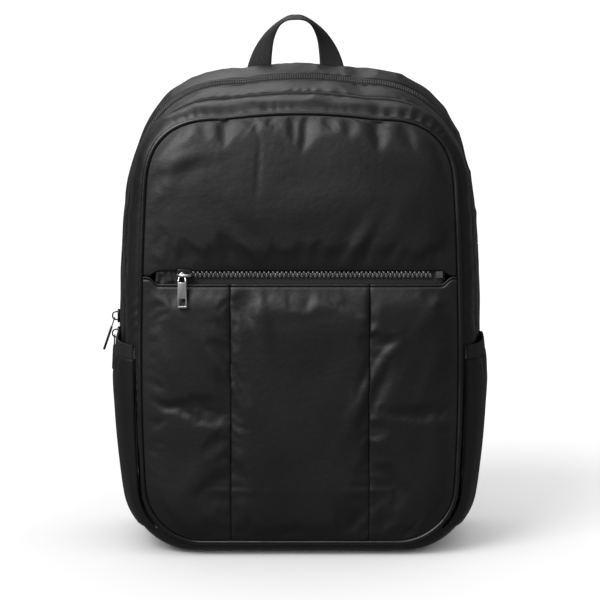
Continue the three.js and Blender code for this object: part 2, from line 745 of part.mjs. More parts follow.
function pocketPoint(side, depth, z, out) {
  return new THREE.Vector3(side * (pocketAt(depth, z) + out), depthAt(depth, z), z);
}
const pocketDepths = evenly(pocketFront, pocketBack, 8);
const bandFoot = pocketTop - bandHeight;
const pocketBend = sectionAt(0).base;
const pocketHeights = [
  ...evenly(pocketFoot, pocketBend, 4).slice(0, -1),
  ...evenly(pocketBend, bandFoot - seamGap, 5),
];
for (const [name, side] of [["left", -1], ["right", 1]]) {
  const rings = pocketHeights.map((z) =>
    wallRing(
      pocketDepths.map((depth) => pocketPoint(side, depth, z, clothWall)),
      pocketDepths.map((depth) => pocketPoint(side, depth, z, 0)),
    ),
  );
  addPiece("side_pocket_" + name, "cloth", throughRings(rings, false));
  const bandRings = pocketDepths.map((depth) =>
    wallRing(
      [bandFoot, pocketTop].map((z) => pocketPoint(side, depth, z, bandWall)),
      [bandFoot, pocketTop].map((z) => pocketPoint(side, depth, z, 0)),
    ),
  );
  addPiece("pocket_band_" + name, "webbing", throughRings(bandRings, false));
}

// Back panel: a pad with the bag's back outline, thin at its seam and full in its middle.
const backEdge = inset(sectionAt(0.5), seamGap);
const backHeights = [
  ...baseCornerHeights(backEdge, outlineCounts.baseCorner).slice(0, -1),
  ...evenly(backEdge.bottom + backEdge.base, backEdge.top - backEdge.drop, 6).slice(0, -1),
  ...topCornerHeights(backEdge, outlineCounts.corner),
];
const backFront = bagDepth / 2 + seamGap;

function backFace(x, z) {
  const half = edgeAt(backEdge, z);
  const sideways = 1 - Math.min(Math.abs(x) / half, 1) ** 4;
  const top = (backEdge.top - z) / backEdge.drop;
  const bottom = (z - backEdge.bottom) / backEdge.base;
  const upright = Math.sqrt(Math.min(Math.max(Math.min(top, bottom), 0), 1));
  return backFront + backPad / 2 + (backPad / 2 + backPadDome) * sideways * upright;
}
const backRings = backHeights.map((z) => {
  const xs = evenly(-edgeAt(backEdge, z), edgeAt(backEdge, z), 8);
  const height = (x) => z + crownAt(backEdge, x, z);
  return wallRing(
    xs.map((x) => new THREE.Vector3(x, backFace(x, z), height(x))),
    xs.map((x) => new THREE.Vector3(x, backFront, height(x))),
  );
});
addPiece("back_panel", "cloth", throughRings(backRings, false));

// Haul handle: flat webbing whose feet face forward and whose crown lies flat, in the back seam.
const handleY = bagDepth / 2 - handleSetback;

// The height of a foot's end on the top of the bag.
function handleBase(x, y) {
  const section = sectionAt(y / bagDepth);
  return section.top + crownAt(section, x, section.top) + seamGap;
}

function handleEdge(row, side, outer) {
  const [x, rise, back] = outer
    ? [row.outerX, row.outerRise, row.outerBack]
    : [row.innerX, row.innerRise, row.innerBack];
  const at = handleOffset + (side * x * handleWidth) / 2;
  return new THREE.Vector3(at, handleY + back * handleWebbing, handleBase(at, handleY) + rise * handleRise);
}
const handleRows = [
  ...handleEdges.map((row) => ({ row, side: -1 })),
  ...handleEdges.slice(0, -1).reverse().map((row) => ({ row, side: 1 })),
];
const handleLines = [true, false].map((outer) => {
  const points = handleRows.map(({ row, side }) => handleEdge(row, side, outer));
  return new THREE.CatmullRomCurve3(points);
});
const handleRings = evenly(0, 1, 24).map((share) => {
  const [outer, inner] = handleLines.map((line) => line.getPoint(share));
  const [alongOuter, alongInner] = handleLines.map((line) => line.getTangent(share));
  const along = alongOuter.add(alongInner).normalize();
  const normal = along.cross(outer.clone().sub(inner)).normalize().multiplyScalar(webbingWall / 2);
  return [
    outer.clone().add(normal),
    inner.clone().add(normal),
    inner.clone().sub(normal),
    outer.clone().sub(normal),
  ];
});
for (const ring of [handleRings[0], handleRings[handleRings.length - 1]]) {
  ring.forEach((point) => point.setZ(handleBase(point.x, point.y)));
}
addPiece("haul_handle", "webbing", throughRings(handleRings, false));

// Shoulder straps

// A strap along a line: its width lies across the back, and it is laid on the back where it would sink into it.
function strapBody(line, widthAt, thick, steps) {
  const deep = thick / 2;
  const round = strapRound * thick;
  const rings = evenly(0, 1, steps).map((share) => {
    const along = line.getTangent(share);
    const wide = new THREE.Vector3(along.z, 0, -along.x).normalize();
    const out = along.clone().cross(wide).normalize();
    const half = widthAt(share) / 2;
    const corners = [
      [-half, round - deep],
      [round - half, -deep],
      [half - round, -deep],
      [half, round - deep],
      [half, deep - round],
      [half - round, deep],
      [round - half, deep],
      [-half, deep - round],
    ];
    return corners.map(([across, up]) => {
      const point = line.getPoint(share).addScaledVector(wide, across).addScaledVector(out, up);
      const lowest = backFace(point.x, point.z) + seamGap + deep + up * Math.sign(out.y);
      point.y = Math.max(point.y, lowest);
      return point;
    });
  });
  return throughRings(rings, false);
}

// A point at a clearance from the back.
function offBack(x, z, clearance) {
  return new THREE.Vector3(x, backFace(x, z) + seamGap + clearance, z);
}

for (const [name, side] of [["left", -1], ["right", 1]]) {
  const strapPoints = strapRun.map(({ x, z, off }) =>
    offBack(side * x * bagWidth, z * bagHeight, strapPad / 2 + off * bagDepth),
  );
  const strapLine = new THREE.CatmullRomCurve3(strapPoints);
  const wideLine = new THREE.CatmullRomCurve3(strapRun.map(({ wide }) => new THREE.Vector3(wide, 0, 0)));
  const widthAt = (share) => wideLine.getPoint(share).x * strapWidth;
  addPiece("shoulder_strap_" + name, "cloth", strapBody(strapLine, widthAt, strapPad, 12));

  // The adjuster hangs at the pad's end, a frame with two slots.
  const down = strapLine.getTangent(1);
  const reach = adjuster.height / 2 + seamGap;
  const buckle = strapLine.getPoint(1).addScaledVector(down, reach);
  const frame = roundedRectangle(adjuster.width, adjuster.height, adjuster.corner);
  const slotHeight = (adjuster.height - 3 * adjuster.bar) / 2;
  const slotHalf = adjuster.width / 2 - adjuster.bar;
  for (const row of [-1, 1]) {
    const slot = new THREE.Path();
    const middle = (row * (slotHeight + adjuster.bar)) / 2;
    slot.moveTo(-slotHalf, middle - slotHeight / 2);
    slot.lineTo(slotHalf, middle - slotHeight / 2);
    slot.lineTo(slotHalf, middle + slotHeight / 2);
    slot.lineTo(-slotHalf, middle + slotHeight / 2);
    frame.holes.push(slot);
  }
  const buckleMesh = addPiece("strap_adjuster_" + name, "plastic", plate(frame, adjuster.thick));
  const upward = down.clone().negate();
  const wide = new THREE.Vector3(upward.z, 0, -upward.x).normalize();
  buckleMesh.setRotationFromMatrix(new THREE.Matrix4().makeBasis(wide, upward, wide.clone().cross(upward)));
  buckleMesh.position.copy(buckle);

  // The webbing runs from the adjuster to a tab in the bag's lower corner.
  const foot = offBack(side * anchor.x * bagWidth, anchor.z * bagHeight, webbingWall / 2);
  const start = buckle.clone().addScaledVector(down, reach + webbingWall);
  const middle = start.clone().lerp(foot, 0.5).add(new THREE.Vector3(0, webbingBow, 0));
  const webbingLine = new THREE.CatmullRomCurve3([start, middle, foot]);
  const webbing = strapBody(webbingLine, () => webbingWidth, webbingWall, 8);
  addPiece("strap_webbing_" + name, "webbing", webbing);

  const corner = offBack(side * anchorCorner.x * bagWidth, anchorCorner.z * bagHeight, tabSize.thick / 2);
  const run = corner.clone().sub(foot).normalize();
  const tabStart = foot.clone().addScaledVector(run, 2 * webbingWall);
  const tabLine = new THREE.LineCurve3(tabStart, corner);
  const tabWidthAt = (share) => lerp(webbingWidth, tabSize.width, share);
  addPiece("anchor_tab_" + name, "cloth", strapBody(tabLine, tabWidthAt, tabSize.thick, 3));
}

export default backpack;
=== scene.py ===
# %% [markdown]
# # A black laptop backpack
# This scene dresses the hard frame of a backpack with cloth, zips, webbing and padding. Everything is in metres
# in the frame's own place, and each piece is worked out with numpy as a grid of points. The frame is loaded
# first, because its box and its parts tell every new piece where to sit.

import itertools
import json
import math

import bmesh
import bpy
import numpy as np
from mathutils import Matrix, Vector


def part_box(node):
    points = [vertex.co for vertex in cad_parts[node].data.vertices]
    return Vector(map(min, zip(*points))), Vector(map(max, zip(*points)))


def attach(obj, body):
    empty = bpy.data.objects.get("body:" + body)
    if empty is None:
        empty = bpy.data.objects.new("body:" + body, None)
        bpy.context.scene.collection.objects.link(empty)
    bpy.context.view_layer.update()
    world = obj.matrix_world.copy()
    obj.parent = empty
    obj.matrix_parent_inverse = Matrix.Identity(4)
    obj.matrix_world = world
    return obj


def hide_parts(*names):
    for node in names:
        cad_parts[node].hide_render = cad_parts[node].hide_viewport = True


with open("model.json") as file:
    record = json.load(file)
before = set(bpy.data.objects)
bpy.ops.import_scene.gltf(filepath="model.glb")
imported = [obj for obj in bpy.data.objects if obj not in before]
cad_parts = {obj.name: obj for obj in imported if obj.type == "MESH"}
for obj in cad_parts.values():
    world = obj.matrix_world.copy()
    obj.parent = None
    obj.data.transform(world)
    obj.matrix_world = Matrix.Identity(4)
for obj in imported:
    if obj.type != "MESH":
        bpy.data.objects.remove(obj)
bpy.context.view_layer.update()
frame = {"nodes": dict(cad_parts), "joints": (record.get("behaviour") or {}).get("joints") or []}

# %% [markdown]
# ## Skins made from grids
# Cloth, cord and webbing can all be seen as a grid of points: so many steps along, so many steps across. The grid
# may close on itself, as a cord's section does. One function turns such a grid into a mesh, lays a UV map over it
# in real metres, so that a weave keeps its size, and turns its faces outwards.

# %% A mesh from a grid of points
MM = 0.001
UV_NAME = "cloth"


def grid_of(x, y, z):
    """Points from three grids of coordinates, each stretched to the common shape."""
    return np.stack(np.broadcast_arrays(x, y, z), axis=-1)


def out_and_back(low, high, outer, inner):
    """Shares over an outer face and back along the inner one, and which of them are on the outer."""
    share = np.concatenate([np.linspace(low, high, outer), np.linspace(high, low, inner)])
    return share, np.arange(outer + inner) < outer


def bell(away, width):
    """A bump of height 1: exp(-(away / width)^2)."""
    return np.exp(-((away / width) ** 2))


def signed_power(value, power):
    """|value|^power with the value's sign. A power below 1 squares off a circle."""
    return np.sign(value) * np.abs(value) ** power


def unit(vectors):
    """The same vectors with length 1."""
    return vectors / np.linalg.norm(vectors, axis=1, keepdims=True)


def running_length(points, axis):
    """The mean distance gone along one axis of a grid, starting at 0, in millimetres."""
    steps = np.linalg.norm(np.diff(points, axis=axis), axis=-1)
    return np.concatenate([[0.0], np.cumsum(steps.mean(axis=1 - axis))])


def curve_through(points, samples):
    """A Catmull-Rom curve: each stretch is a cubic whose end tangents join the neighbours on both sides."""
    points = np.asarray(points, float)
    ends = np.concatenate([2 * points[:1] - points[1:2], points, 2 * points[-1:] - points[-2:-1]])
    t = np.linspace(0, len(points) - 1, samples)
    k = np.minimum(t.astype(int), len(points) - 2)
    s = (t - k)[:, None]
    a, b, c, d = (ends[k + n] for n in range(4))
    return 0.5 * (2 * b + (c - a) * s + (2 * a - 5 * b + 4 * c - d) * s**2 + (3 * b - a - 3 * c + d) * s**3)


def skin(name, points, wrap_along=False, wrap_across=False, caps=False, facing=None):
    """A mesh through points[i, j] in millimetres: quads between neighbours, and a fan on each open end if capped.
    Closed meshes are turned by the sign of their volume, open ones towards the direction facing."""
    points = np.asarray(points, float)
    rows, columns = points.shape[:2]
    closed = points
    if wrap_along:
        closed = np.concatenate([closed, closed[:1]], axis=0)
    if wrap_across:
        closed = np.concatenate([closed, closed[:, :1]], axis=1)
    u = running_length(closed, 0) * MM
    v = running_length(closed, 1) * MM
    i, j = np.meshgrid(np.arange(closed.shape[0] - 1), np.arange(closed.shape[1] - 1), indexing="ij")
    i, j = i.ravel(), j.ravel()
    corner_i = np.stack([i, i + 1, i + 1, i], axis=1)
    corner_j = np.stack([j, j, j + 1, j + 1], axis=1)
    quads = (corner_i % rows) * columns + corner_j % columns
    uv = np.stack([u[corner_i], v[corner_j]], axis=-1).reshape(-1, 2)
    vertices = points.reshape(-1, 3)
    corners = [quads.ravel()]
    sizes = [np.full(len(quads), 4)]
    if caps:
        ends = [(0, points[0]), (rows - 1, points[-1])]
        centres = np.array([end.mean(axis=0) for _, end in ends])
        for number, (row, end) in enumerate(ends):
            k = np.arange(columns)
            ring = row * columns + k
            following = row * columns + (k + 1) % columns
            centre = np.full(columns, len(vertices) + number)
            fan = np.stack([centre, following, ring] if number == 0 else [centre, ring, following], axis=1)
            corners.append(fan.ravel())
            sizes.append(np.full(columns, 3))
            flat = np.stack([centres[number][[0, 2]]] * columns)
            fan_uv = np.stack([flat, end[(k + 1) % columns][:, [0, 2]], end[k][:, [0, 2]]], axis=1) * MM
            uv = np.concatenate([uv, fan_uv.reshape(-1, 2)])
        vertices = np.concatenate([vertices, centres])
    return mesh_object(name, vertices * MM, np.concatenate(corners), np.concatenate(sizes), uv, facing)


def mesh_object(name, vertices, corners, sizes, uv=None, facing=None):
    """A smooth-shaded object from vertices in metres and faces given as a run of corners and their counts."""
    starts = np.concatenate([[0], np.cumsum(sizes)[:-1]])
    first, second, third = (vertices[corners[starts + k]] for k in range(3))
    last = vertices[corners[starts + sizes - 1]]
    fourth = np.where((sizes == 4)[:, None], last, third)
    corner = np.cross(second - first, third - first)
    normal = np.cross(third - first, fourth - second) + np.where((sizes == 3)[:, None], corner, 0)
    if facing is None:
        outward = np.einsum("ij,ij->", (first + third) / 2 - vertices.mean(axis=0), normal)
    else:
        outward = float((normal @ np.asarray(facing, float)).sum())
    if outward < 0:
        order = np.concatenate([starts[:, None] + sizes[:, None] - 1 - np.arange(4)], axis=0)
        keep = np.arange(4)[None, :] < sizes[:, None]
        order = order[keep]
        corners = corners[order]
        uv = uv[order] if uv is not None else None
    mesh = bpy.data.meshes.new(name)
    mesh.vertices.add(len(vertices))
    mesh.vertices.foreach_set("co", vertices.astype(np.float32).ravel())
    mesh.loops.add(len(corners))
    mesh.loops.foreach_set("vertex_index", corners.astype(np.int32))
    mesh.polygons.add(len(sizes))
    mesh.polygons.foreach_set("loop_start", starts.astype(np.int32))
    mesh.polygons.foreach_set("use_smooth", np.ones(len(sizes), bool))
    mesh.update(calc_edges=True)
    mesh.validate()
    if uv is not None:
        layer = mesh.uv_layers.new(name=UV_NAME)
        layer.data.foreach_set("uv", uv.astype(np.float32).ravel())
    return link(name, mesh)


def link(name, data):
    """A new object in the scene, at the origin."""
    obj = bpy.data.objects.new(name, data)
    bpy.context.scene.collection.objects.link(obj)
    return obj


def read(items, field, width=1, kind=float):
    """One field of a mesh's vertices, corners or faces, as rows of width numbers."""
    values = np.zeros(len(items) * width, kind)
    items.foreach_get(field, values)
    return values.reshape(-1, width) if width > 1 else values


def wall(obj, thickness):
    """Gives an open sheet its thickness, on the side away from its face."""
    solid = obj.modifiers.new("wall", "SOLIDIFY")
    solid.thickness = thickness * MM
    solid.offset = -1
    solid.use_even_offset = False
    return obj


def rounder(obj):
    """Adds one level of subdivision, the same in view and render."""
    surface = obj.modifiers.new("round", "SUBSURF")
    surface.levels = 1
    surface.render_levels = surface.levels
    return obj


made = {}


def paint(obj, material):
    """Makes a material the only one of an object."""
    obj.data.materials.clear()
    obj.data.materials.append(material)


def dress(obj, material, body, slot, *nodes):
    """Gives a piece its finish, its body and the frame nodes that it stands for. The slot is not used."""
    paint(obj, material)
    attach(obj, body)
    if nodes:
        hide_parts(*nodes)
    made[obj.name] = len(obj.data.polygons)
    print(obj.name, "faces", len(obj.data.polygons))
    return obj


# %% [markdown]
# ## Soft randomness
# Real cloth is never even. A smooth random field comes from random numbers on a lattice, mixed between the lattice
# points with an S-curve. It is seeded, so the bag comes out the same each time.

# %% A smooth random field
def cloud(points, size, seed):
    """A field from -1 to 1 that changes over about size millimetres: lattice values mixed with weights 3t^2-2t^3."""
    lattice = np.random.default_rng(seed).uniform(-1, 1, (32, 32, 32))
    place = np.asarray(points, float) / np.asarray(size, float) + 100.0
    cell = np.floor(place).astype(int)
    share = place - cell
    share = share * share * (3 - 2 * share)
    total = np.zeros(place.shape[:-1])
    for corner in itertools.product((0, 1), repeat=3):
        weight = np.prod(np.where(np.array(corner) == 1, share, 1 - share), axis=-1)
        at = (cell + np.array(corner)) % 32
        total += weight * lattice[at[..., 0], at[..., 1], at[..., 2]]
    return total


def ridges(points, size, seed):
    """Sharp soft-sided creases: 1 - |field|, cubed, so the crests are narrow."""
    return (1 - np.abs(cloud(points, size, seed))) ** 3


def ease(value, low, high):
    """0 below low, 1 above high, and an S-curve between."""
    t = np.clip((value - low) / (high - low), 0, 1)
    return t * t * (3 - 2 * t)


# %% [markdown]
# ## The bag's outlines
# From the front seam to the back seam the bag is a row of outlines: a base, two round lower corners, long sides,
# and top corners that turn faster near the side than near the top. The table holds a few of them as shares of the
# bag's width, height and depth, and a smooth curve through each column gives the outline at any depth.

# %% Outlines from the front to the back
BAG_WIDTH, BAG_HEIGHT, BAG_DEPTH, TOP_LEAN = 320.0, 420.0, 144.0, 8.0
WALL, GAP, PIPING = 1.6, 0.3, 2.0
SECTION_COLUMNS = ("depth", "hip", "shoulder", "top", "bottom", "across", "drop", "base")
SECTIONS = np.array([
    (-0.5, 0.433, 0.405, 0.91, 0.029, 0.2, 0.155, 0.15),
    (-0.42, 0.46, 0.427, 0.929, 0.006, 0.22, 0.21, 0.148),
    (-0.28, 0.478, 0.44, 0.944, 0.0, 0.258, 0.28, 0.146),
    (-0.1, 0.487, 0.447, 0.955, 0.0, 0.285, 0.33, 0.146),
    (0.05, 0.497, 0.447, 0.964, 0.0, 0.292, 0.34, 0.146),
    (0.16, 0.503, 0.451, 0.976, 0.0, 0.296, 0.35, 0.146),
    (0.46, 0.486, 0.442, 0.989, 0.0, 0.282, 0.34, 0.146),
    (0.5, 0.464, 0.426, 0.977, 0.01, 0.268, 0.32, 0.146),
])
CORNER_RISE, CORNER_RUN, TOP_CROWN, WIDEST, BASE_TAPER = 2.9, 2.6, 4.6, 0.4, 0.05
LOOP_SHARES = {"base": 0.15, "corner": 0.28, "side": 0.6, "top": 0.93}


def smooth_between(at, places, values):
    """A monotone cubic through the values: each tangent is the harmonic mean of the slopes on its two sides."""
    slope = np.diff(values) / np.diff(places)
    product = slope[:-1] * slope[1:]
    total = slope[:-1] + slope[1:]
    inner = np.where(product > 0, 2 * product / np.where(total == 0, 1, total), 0)
    tangent = np.concatenate([slope[:1], inner, slope[-1:]])
    k = np.clip(np.searchsorted(places, at, side="right") - 1, 0, len(places) - 2)
    width = places[k + 1] - places[k]
    t = (at - places[k]) / width
    return (
        (2 * t**3 - 3 * t**2 + 1) * values[k]
        + (t**3 - 2 * t**2 + t) * width * tangent[k]
        + (3 * t**2 - 2 * t**3) * values[k + 1]
        + (t**3 - t**2) * width * tangent[k + 1]
    )


def section_at(depth, out=0.0):
    """The outline's sizes in millimetres at a share of the depth, moved outwards by out."""
    depth = np.asarray(depth, float)
    values = {
        name: smooth_between(depth, SECTIONS[:, 0], SECTIONS[:, k])
        for k, name in enumerate(SECTION_COLUMNS) if k
    }
    section = {name: values[name] * BAG_WIDTH + out for name in ("hip", "shoulder", "across", "base")}
    section["drop"] = values["drop"] * BAG_HEIGHT + out
    section["top"] = values["top"] * BAG_HEIGHT + out
    section["bottom"] = values["bottom"] * BAG_HEIGHT - out
    return section


def depth_at(depth, z):
    """Where a share of the depth lies: the front half leans back with the square of the height."""
    lean = np.where(depth < 0, -2 * depth * TOP_LEAN * (z / BAG_HEIGHT) ** 2, 0)
    return depth * BAG_DEPTH + lean


def side_at(section, z):
    """Half the width without corners: widest at WIDEST of the height, and easing to the shoulder and the base."""
    share = np.clip(z / section["top"], 0, 1)
    rise = np.clip((share - WIDEST) / (1 - WIDEST), 0, 1)
    fall = np.clip(1 - share / WIDEST, 0, 1)
    upper = section["hip"] + (section["shoulder"] - section["hip"]) * rise**2
    return np.where(share > WIDEST, upper, section["hip"] * (1 - BASE_TAPER * fall**2))


def edge_at(section, z):
    """Half the width with corners: 1-(1-up^a)^(1/b) of the corner's run at the top, a quarter circle at the base."""
    side = side_at(section, z)
    up = np.clip((z - section["top"] + section["drop"]) / section["drop"], 0, 1)
    down = np.clip((section["bottom"] + section["base"] - z) / section["base"], 0, 1)
    corner = section["across"] * (1 - (1 - up**CORNER_RISE) ** (1 / CORNER_RUN))
    return side - corner - section["base"] * (1 - np.sqrt(1 - down**2))


def crown_at(section, x, z):
    """The lift of the top's arch, a parabola over the straight part of the top."""
    flat = section["shoulder"] - section["across"]
    up = np.clip((z - section["top"] + section["drop"]) / section["drop"], 0, 1)
    return TOP_CROWN * up**4 * np.maximum(1 - (x / flat) ** 2, 0)


def upright(edge, z):
    """0 at an outline's top and base and 1 away from them: the root of the share of each corner's height."""
    top = (edge["top"] - z) / edge["drop"]
    bottom = (z - edge["bottom"]) / edge["base"]
    return np.sqrt(np.clip(np.minimum(top, bottom), 0, 1))


def base_rows(edge, count):
    """Heights up a lower corner, without the last one: bottom + base (1 - cos)."""
    return edge["bottom"] + edge["base"] * (1 - np.cos(np.linspace(0, np.pi / 2, count)))[:-1]


def top_rows(edge, count):
    """Heights up a top corner: top - drop + drop sin^(2 / CORNER_RISE)."""
    return edge["top"] - edge["drop"] + edge["drop"] * np.sin(np.linspace(0, np.pi / 2, count)) ** (2 / CORNER_RISE)


def round_bag(depth, u, out=0.0):
    """The point at share u round the outline, from the middle of the base up the right side and down the left."""
    depth, u, out = np.broadcast_arrays(np.asarray(depth, float), np.asarray(u, float), np.asarray(out, float))
    section = section_at(depth, out)
    half = 1 - np.abs(2 * u - 1)
    gone = lambda low, high: np.clip((half - low) / (high - low), 0, 1)
    base, corner, side, top = (LOOP_SHARES[name] for name in ("base", "corner", "side", "top"))
    low = section["bottom"] + section["base"]
    high = section["top"] - section["drop"]
    z_corner = section["bottom"] + section["base"] * (1 - np.cos(gone(base, corner) * np.pi / 2))
    z_side = low + (high - low) * gone(corner, side)
    z_top = high + section["drop"] * np.sin(gone(side, top) * np.pi / 2) ** (2 / CORNER_RISE)
    z = np.where(half < corner, z_corner, np.where(half < side, z_side, z_top))
    x_edge = edge_at(section, z)
    x_base = (side_at(section, section["bottom"]) - section["base"]) * gone(0, base)
    x_top = edge_at(section, section["top"]) * (1 - gone(top, 1))
    x = np.where(half < base, x_base, np.where(half < top, x_edge, x_top))
    z = z + crown_at(section, x, z)
    return np.stack([np.where(u < 0.5, x, -x), depth_at(depth, z), z], axis=-1)


print("widest outline", round(2 * float(section_at(0.16)["hip"]), 1), "mm")

# %% [markdown]
# ## Finishes
# The bag is all black, so it is the gloss that tells one cloth from another. The coated nylon is satin and
# catches soft clouds of light, webbing is dull and ribbed, the mesh over the padding swallows light, and the
# metal is brushed. Each finish is a shader with a woven bump on the piece's own UV map, so the weave follows the
# cloth round corners, and a larger random bump for the way a thin coating crumples.

# %% A small kit for shaders
def new_finish(name, colour, roughness, **sockets):
    """A Principled shader with its constants set on its own sockets. Returns the material, its tree and shader."""
    material = bpy.data.materials.new(name)
    material.use_nodes = True
    tree = material.node_tree
    shader = tree.nodes["Principled BSDF"]
    shader.inputs["Base Color"].default_value = (*colour, 1)
    shader.inputs["Roughness"].default_value = roughness
    for socket, value in sockets.items():
        shader.inputs[socket.replace("_", " ")].default_value = value
    return material, tree, shader


def node(tree, kind, **values):
    """A node whose named inputs or properties are set and whose sockets are returned by it."""
    made_node = tree.nodes.new(kind)
    for name, value in values.items():
        if name in made_node.inputs.keys():
            made_node.inputs[name].default_value = value
        else:
            setattr(made_node, name, value)
    return made_node


def cloth_place(tree, turn=0.0):
    """The piece's own UV map in metres, turned in its plane."""
    place = node(tree, "ShaderNodeUVMap", uv_map=UV_NAME)
    mapping = node(tree, "ShaderNodeMapping", Rotation=(0, 0, math.radians(turn)))
    tree.links.new(place.outputs["UV"], mapping.inputs["Vector"])
    return mapping.outputs["Vector"]


def threads(tree, vector, pitch, direction):
    """Ribs a pitch apart in metres. A wave's bands repeat every 0.31416 / scale."""
    wave = node(tree, "ShaderNodeTexWave", bands_direction=direction, Scale=0.31416 / pitch, Distortion=0.0)
    tree.links.new(vector, wave.inputs["Vector"])
    return wave.outputs["Fac"]


def mix_values(tree, operation, first, second):
    """One Math node between two values or sockets."""
    maths = node(tree, "ShaderNodeMath", operation=operation)
    for k, value in enumerate((first, second)):
        if isinstance(value, (int, float)):
            maths.inputs[k].default_value = value
        else:
            tree.links.new(value, maths.inputs[k])
    return maths.outputs[0]


def noise(tree, scale, detail=3.0, roughness=0.5, stretch=(1, 1, 1)):
    """Random clouds on the object's own coordinates."""
    vector = node(tree, "ShaderNodeTexCoord").outputs["Object"]
    mapping = node(tree, "ShaderNodeMapping", Scale=stretch)
    texture = node(tree, "ShaderNodeTexNoise", Scale=scale, Detail=detail, Roughness=roughness)
    tree.links.new(vector, mapping.inputs["Vector"])
    tree.links.new(mapping.outputs["Vector"], texture.inputs["Vector"])
    return texture.outputs["Fac"]


def raise_surface(tree, shader, heights):
    """Bumps in a chain: pairs of a height socket and its depth in metres."""
    normal = None
    for height, depth in heights:
        bump = node(tree, "ShaderNodeBump", Strength=1.0, Distance=depth)
        tree.links.new(height, bump.inputs["Height"])
        if normal is not None:
            tree.links.new(normal, bump.inputs["Normal"])
        normal = bump.outputs["Normal"]
    tree.links.new(normal, shader.inputs["Normal"])


def spread(tree, value, low, high, start=0.0, end=1.0):
    """A value mapped from start..end to low..high."""
    ramp = node(tree, "ShaderNodeMapRange")
    for name, number in (("From Min", start), ("From Max", end), ("To Min", low), ("To Max", high)):
        ramp.inputs[name].default_value = number
    tree.links.new(value, ramp.inputs["Value"])
    return ramp.outputs["Result"]


def shades(tree, shader, value, dark, light):
    """Base colour between two shades by a value."""
    ramp = node(tree, "ShaderNodeValToRGB")
    ramp.color_ramp.elements[0].color = (*dark, 1)
    ramp.color_ramp.elements[1].color = (*light, 1)
    tree.links.new(value, ramp.inputs["Fac"])
    tree.links.new(ramp.outputs["Color"], shader.inputs["Base Color"])


def woven(name, colour, roughness, pitch, depth, crumple=0.0, turn=0.0, cloudy=0.1, **sockets):
    """A plain weave: two sets of threads, each over and under, on the UV map, over a crumple of 4 to 20 mm."""
    material, tree, shader = new_finish(name, colour, roughness, **sockets)
    vector = cloth_place(tree, turn)
    weft = threads(tree, vector, pitch, "X")
    warp = threads(tree, vector, pitch, "Y")
    over = mix_values(tree, "MAXIMUM", weft, warp)
    heights = []
    if crumple:
        heights.append((noise(tree, 55.0, 4.0, 0.55), crumple))
        heights.append((noise(tree, 190.0, 2.0, 0.5), crumple * 0.25))
    heights.append((over, depth))
    raise_surface(tree, shader, heights)
    soft = noise(tree, 14.0, 3.0, 0.6)
    tree.links.new(spread(tree, soft, roughness - cloudy, roughness + cloudy, 0.3, 0.7), shader.inputs["Roughness"])
    shades(tree, shader, soft, tuple(c * 0.8 for c in colour), tuple(c * 1.2 for c in colour))
    return material


# %% [markdown]
# ## The finishes of this bag
# Nylon, piping, tape, webbing and padding are the same weave at another pitch, gloss and crumple. Moulded nylon
# has a fine grain only. The gunmetal comes twice: plain on the pocket's pull and the pocket slider's bridge, and
# far darker on the sliders, where the pocket slider's dark face is painted shade.

# %% The cloths, the webbing and the metal
nylon = woven("coated_nylon", (0.0032, 0.0034, 0.0035), 0.5, 0.00045, 0.00002, crumple=0.0005, cloudy=0.05,
              Specular_IOR_Level=0.32)
band_nylon = woven("band_nylon", (0.0034, 0.0036, 0.0037), 0.5, 0.00045, 0.00002, crumple=0.0006, cloudy=0.05,
                   Specular_IOR_Level=0.34)
piping_cloth = woven("piping_cloth", (0.0032, 0.0034, 0.0035), 0.4, 0.0004, 0.00002, crumple=0.0003,
                     Specular_IOR_Level=0.4)
tape_cloth = woven("zip_tape", (0.012, 0.0124, 0.0128), 0.7, 0.0006, 0.00012, turn=45, cloudy=0.05,
                   Specular_IOR_Level=0.3)
webbing_cloth = woven("webbing", (0.006, 0.0062, 0.0066), 0.6, 0.0011, 0.00018, cloudy=0.06,
                      Specular_IOR_Level=0.3)
mesh_cloth = woven("padding_mesh", (0.006, 0.0062, 0.0066), 0.85, 0.0022, 0.0006, cloudy=0.05,
                   Specular_IOR_Level=0.15)


def moulded(name, colour, roughness, grain, depth, **sockets):
    """Moulded black nylon with a fine grain of a scale and a depth."""
    material, tree, shader = new_finish(name, colour, roughness, **sockets)
    raise_surface(tree, shader, [(noise(tree, grain, 2.0), depth)])
    return material


def tooth_finish():
    """Gunmetal lacquer on moulded teeth, with a little wear in its colour."""
    material, tree, shader = new_finish("zip_teeth", (0.1, 0.101, 0.105), 0.36, Metallic=0.8)
    soft = noise(tree, 160.0, 2.0)
    shades(tree, shader, soft, (0.08, 0.081, 0.083), (0.2, 0.201, 0.205))
    raise_surface(tree, shader, [(noise(tree, 700.0, 2.0), 0.00004)])
    return material


def metal_finish(name, colour, roughness):
    """Brushed plating: fine lines along the pull from noise stretched ninety times, and softer stains."""
    material, tree, shader = new_finish(name, colour, roughness, Metallic=1.0)
    lines = noise(tree, 60.0, 3.0, 0.6, stretch=(60, 60, 1))
    stains = noise(tree, 120.0, 3.0, 0.6)
    tree.links.new(spread(tree, lines, roughness - 0.08, roughness + 0.1, 0.35, 0.65), shader.inputs["Roughness"])
    shades(tree, shader, stains, tuple(c * 0.85 for c in colour), tuple(min(c * 1.15, 1) for c in colour))
    raise_surface(tree, shader, [(lines, 0.00003)])
    return material


coil_nylon = moulded("zip_coil", (0.008, 0.0083, 0.0088), 0.45, 900.0, 0.00005, Specular_IOR_Level=0.2)
tooth_lacquer = tooth_finish()
gunmetal = metal_finish("gunmetal", (0.5, 0.5, 0.505), 0.4)
# The same gunmetal made far darker: painted shade on the pocket slider's face, which sits under its plain, lighter
# bridge. The side sliders and pulls wear this copy too.
shaded_gunmetal = metal_finish("shaded_gunmetal", (0.03, 0.0305, 0.032), 0.38)
buckle_nylon = moulded("buckle_nylon", (0.012, 0.0122, 0.0128), 0.5, 1400.0, 0.00008)
print("finishes", len(bpy.data.materials))

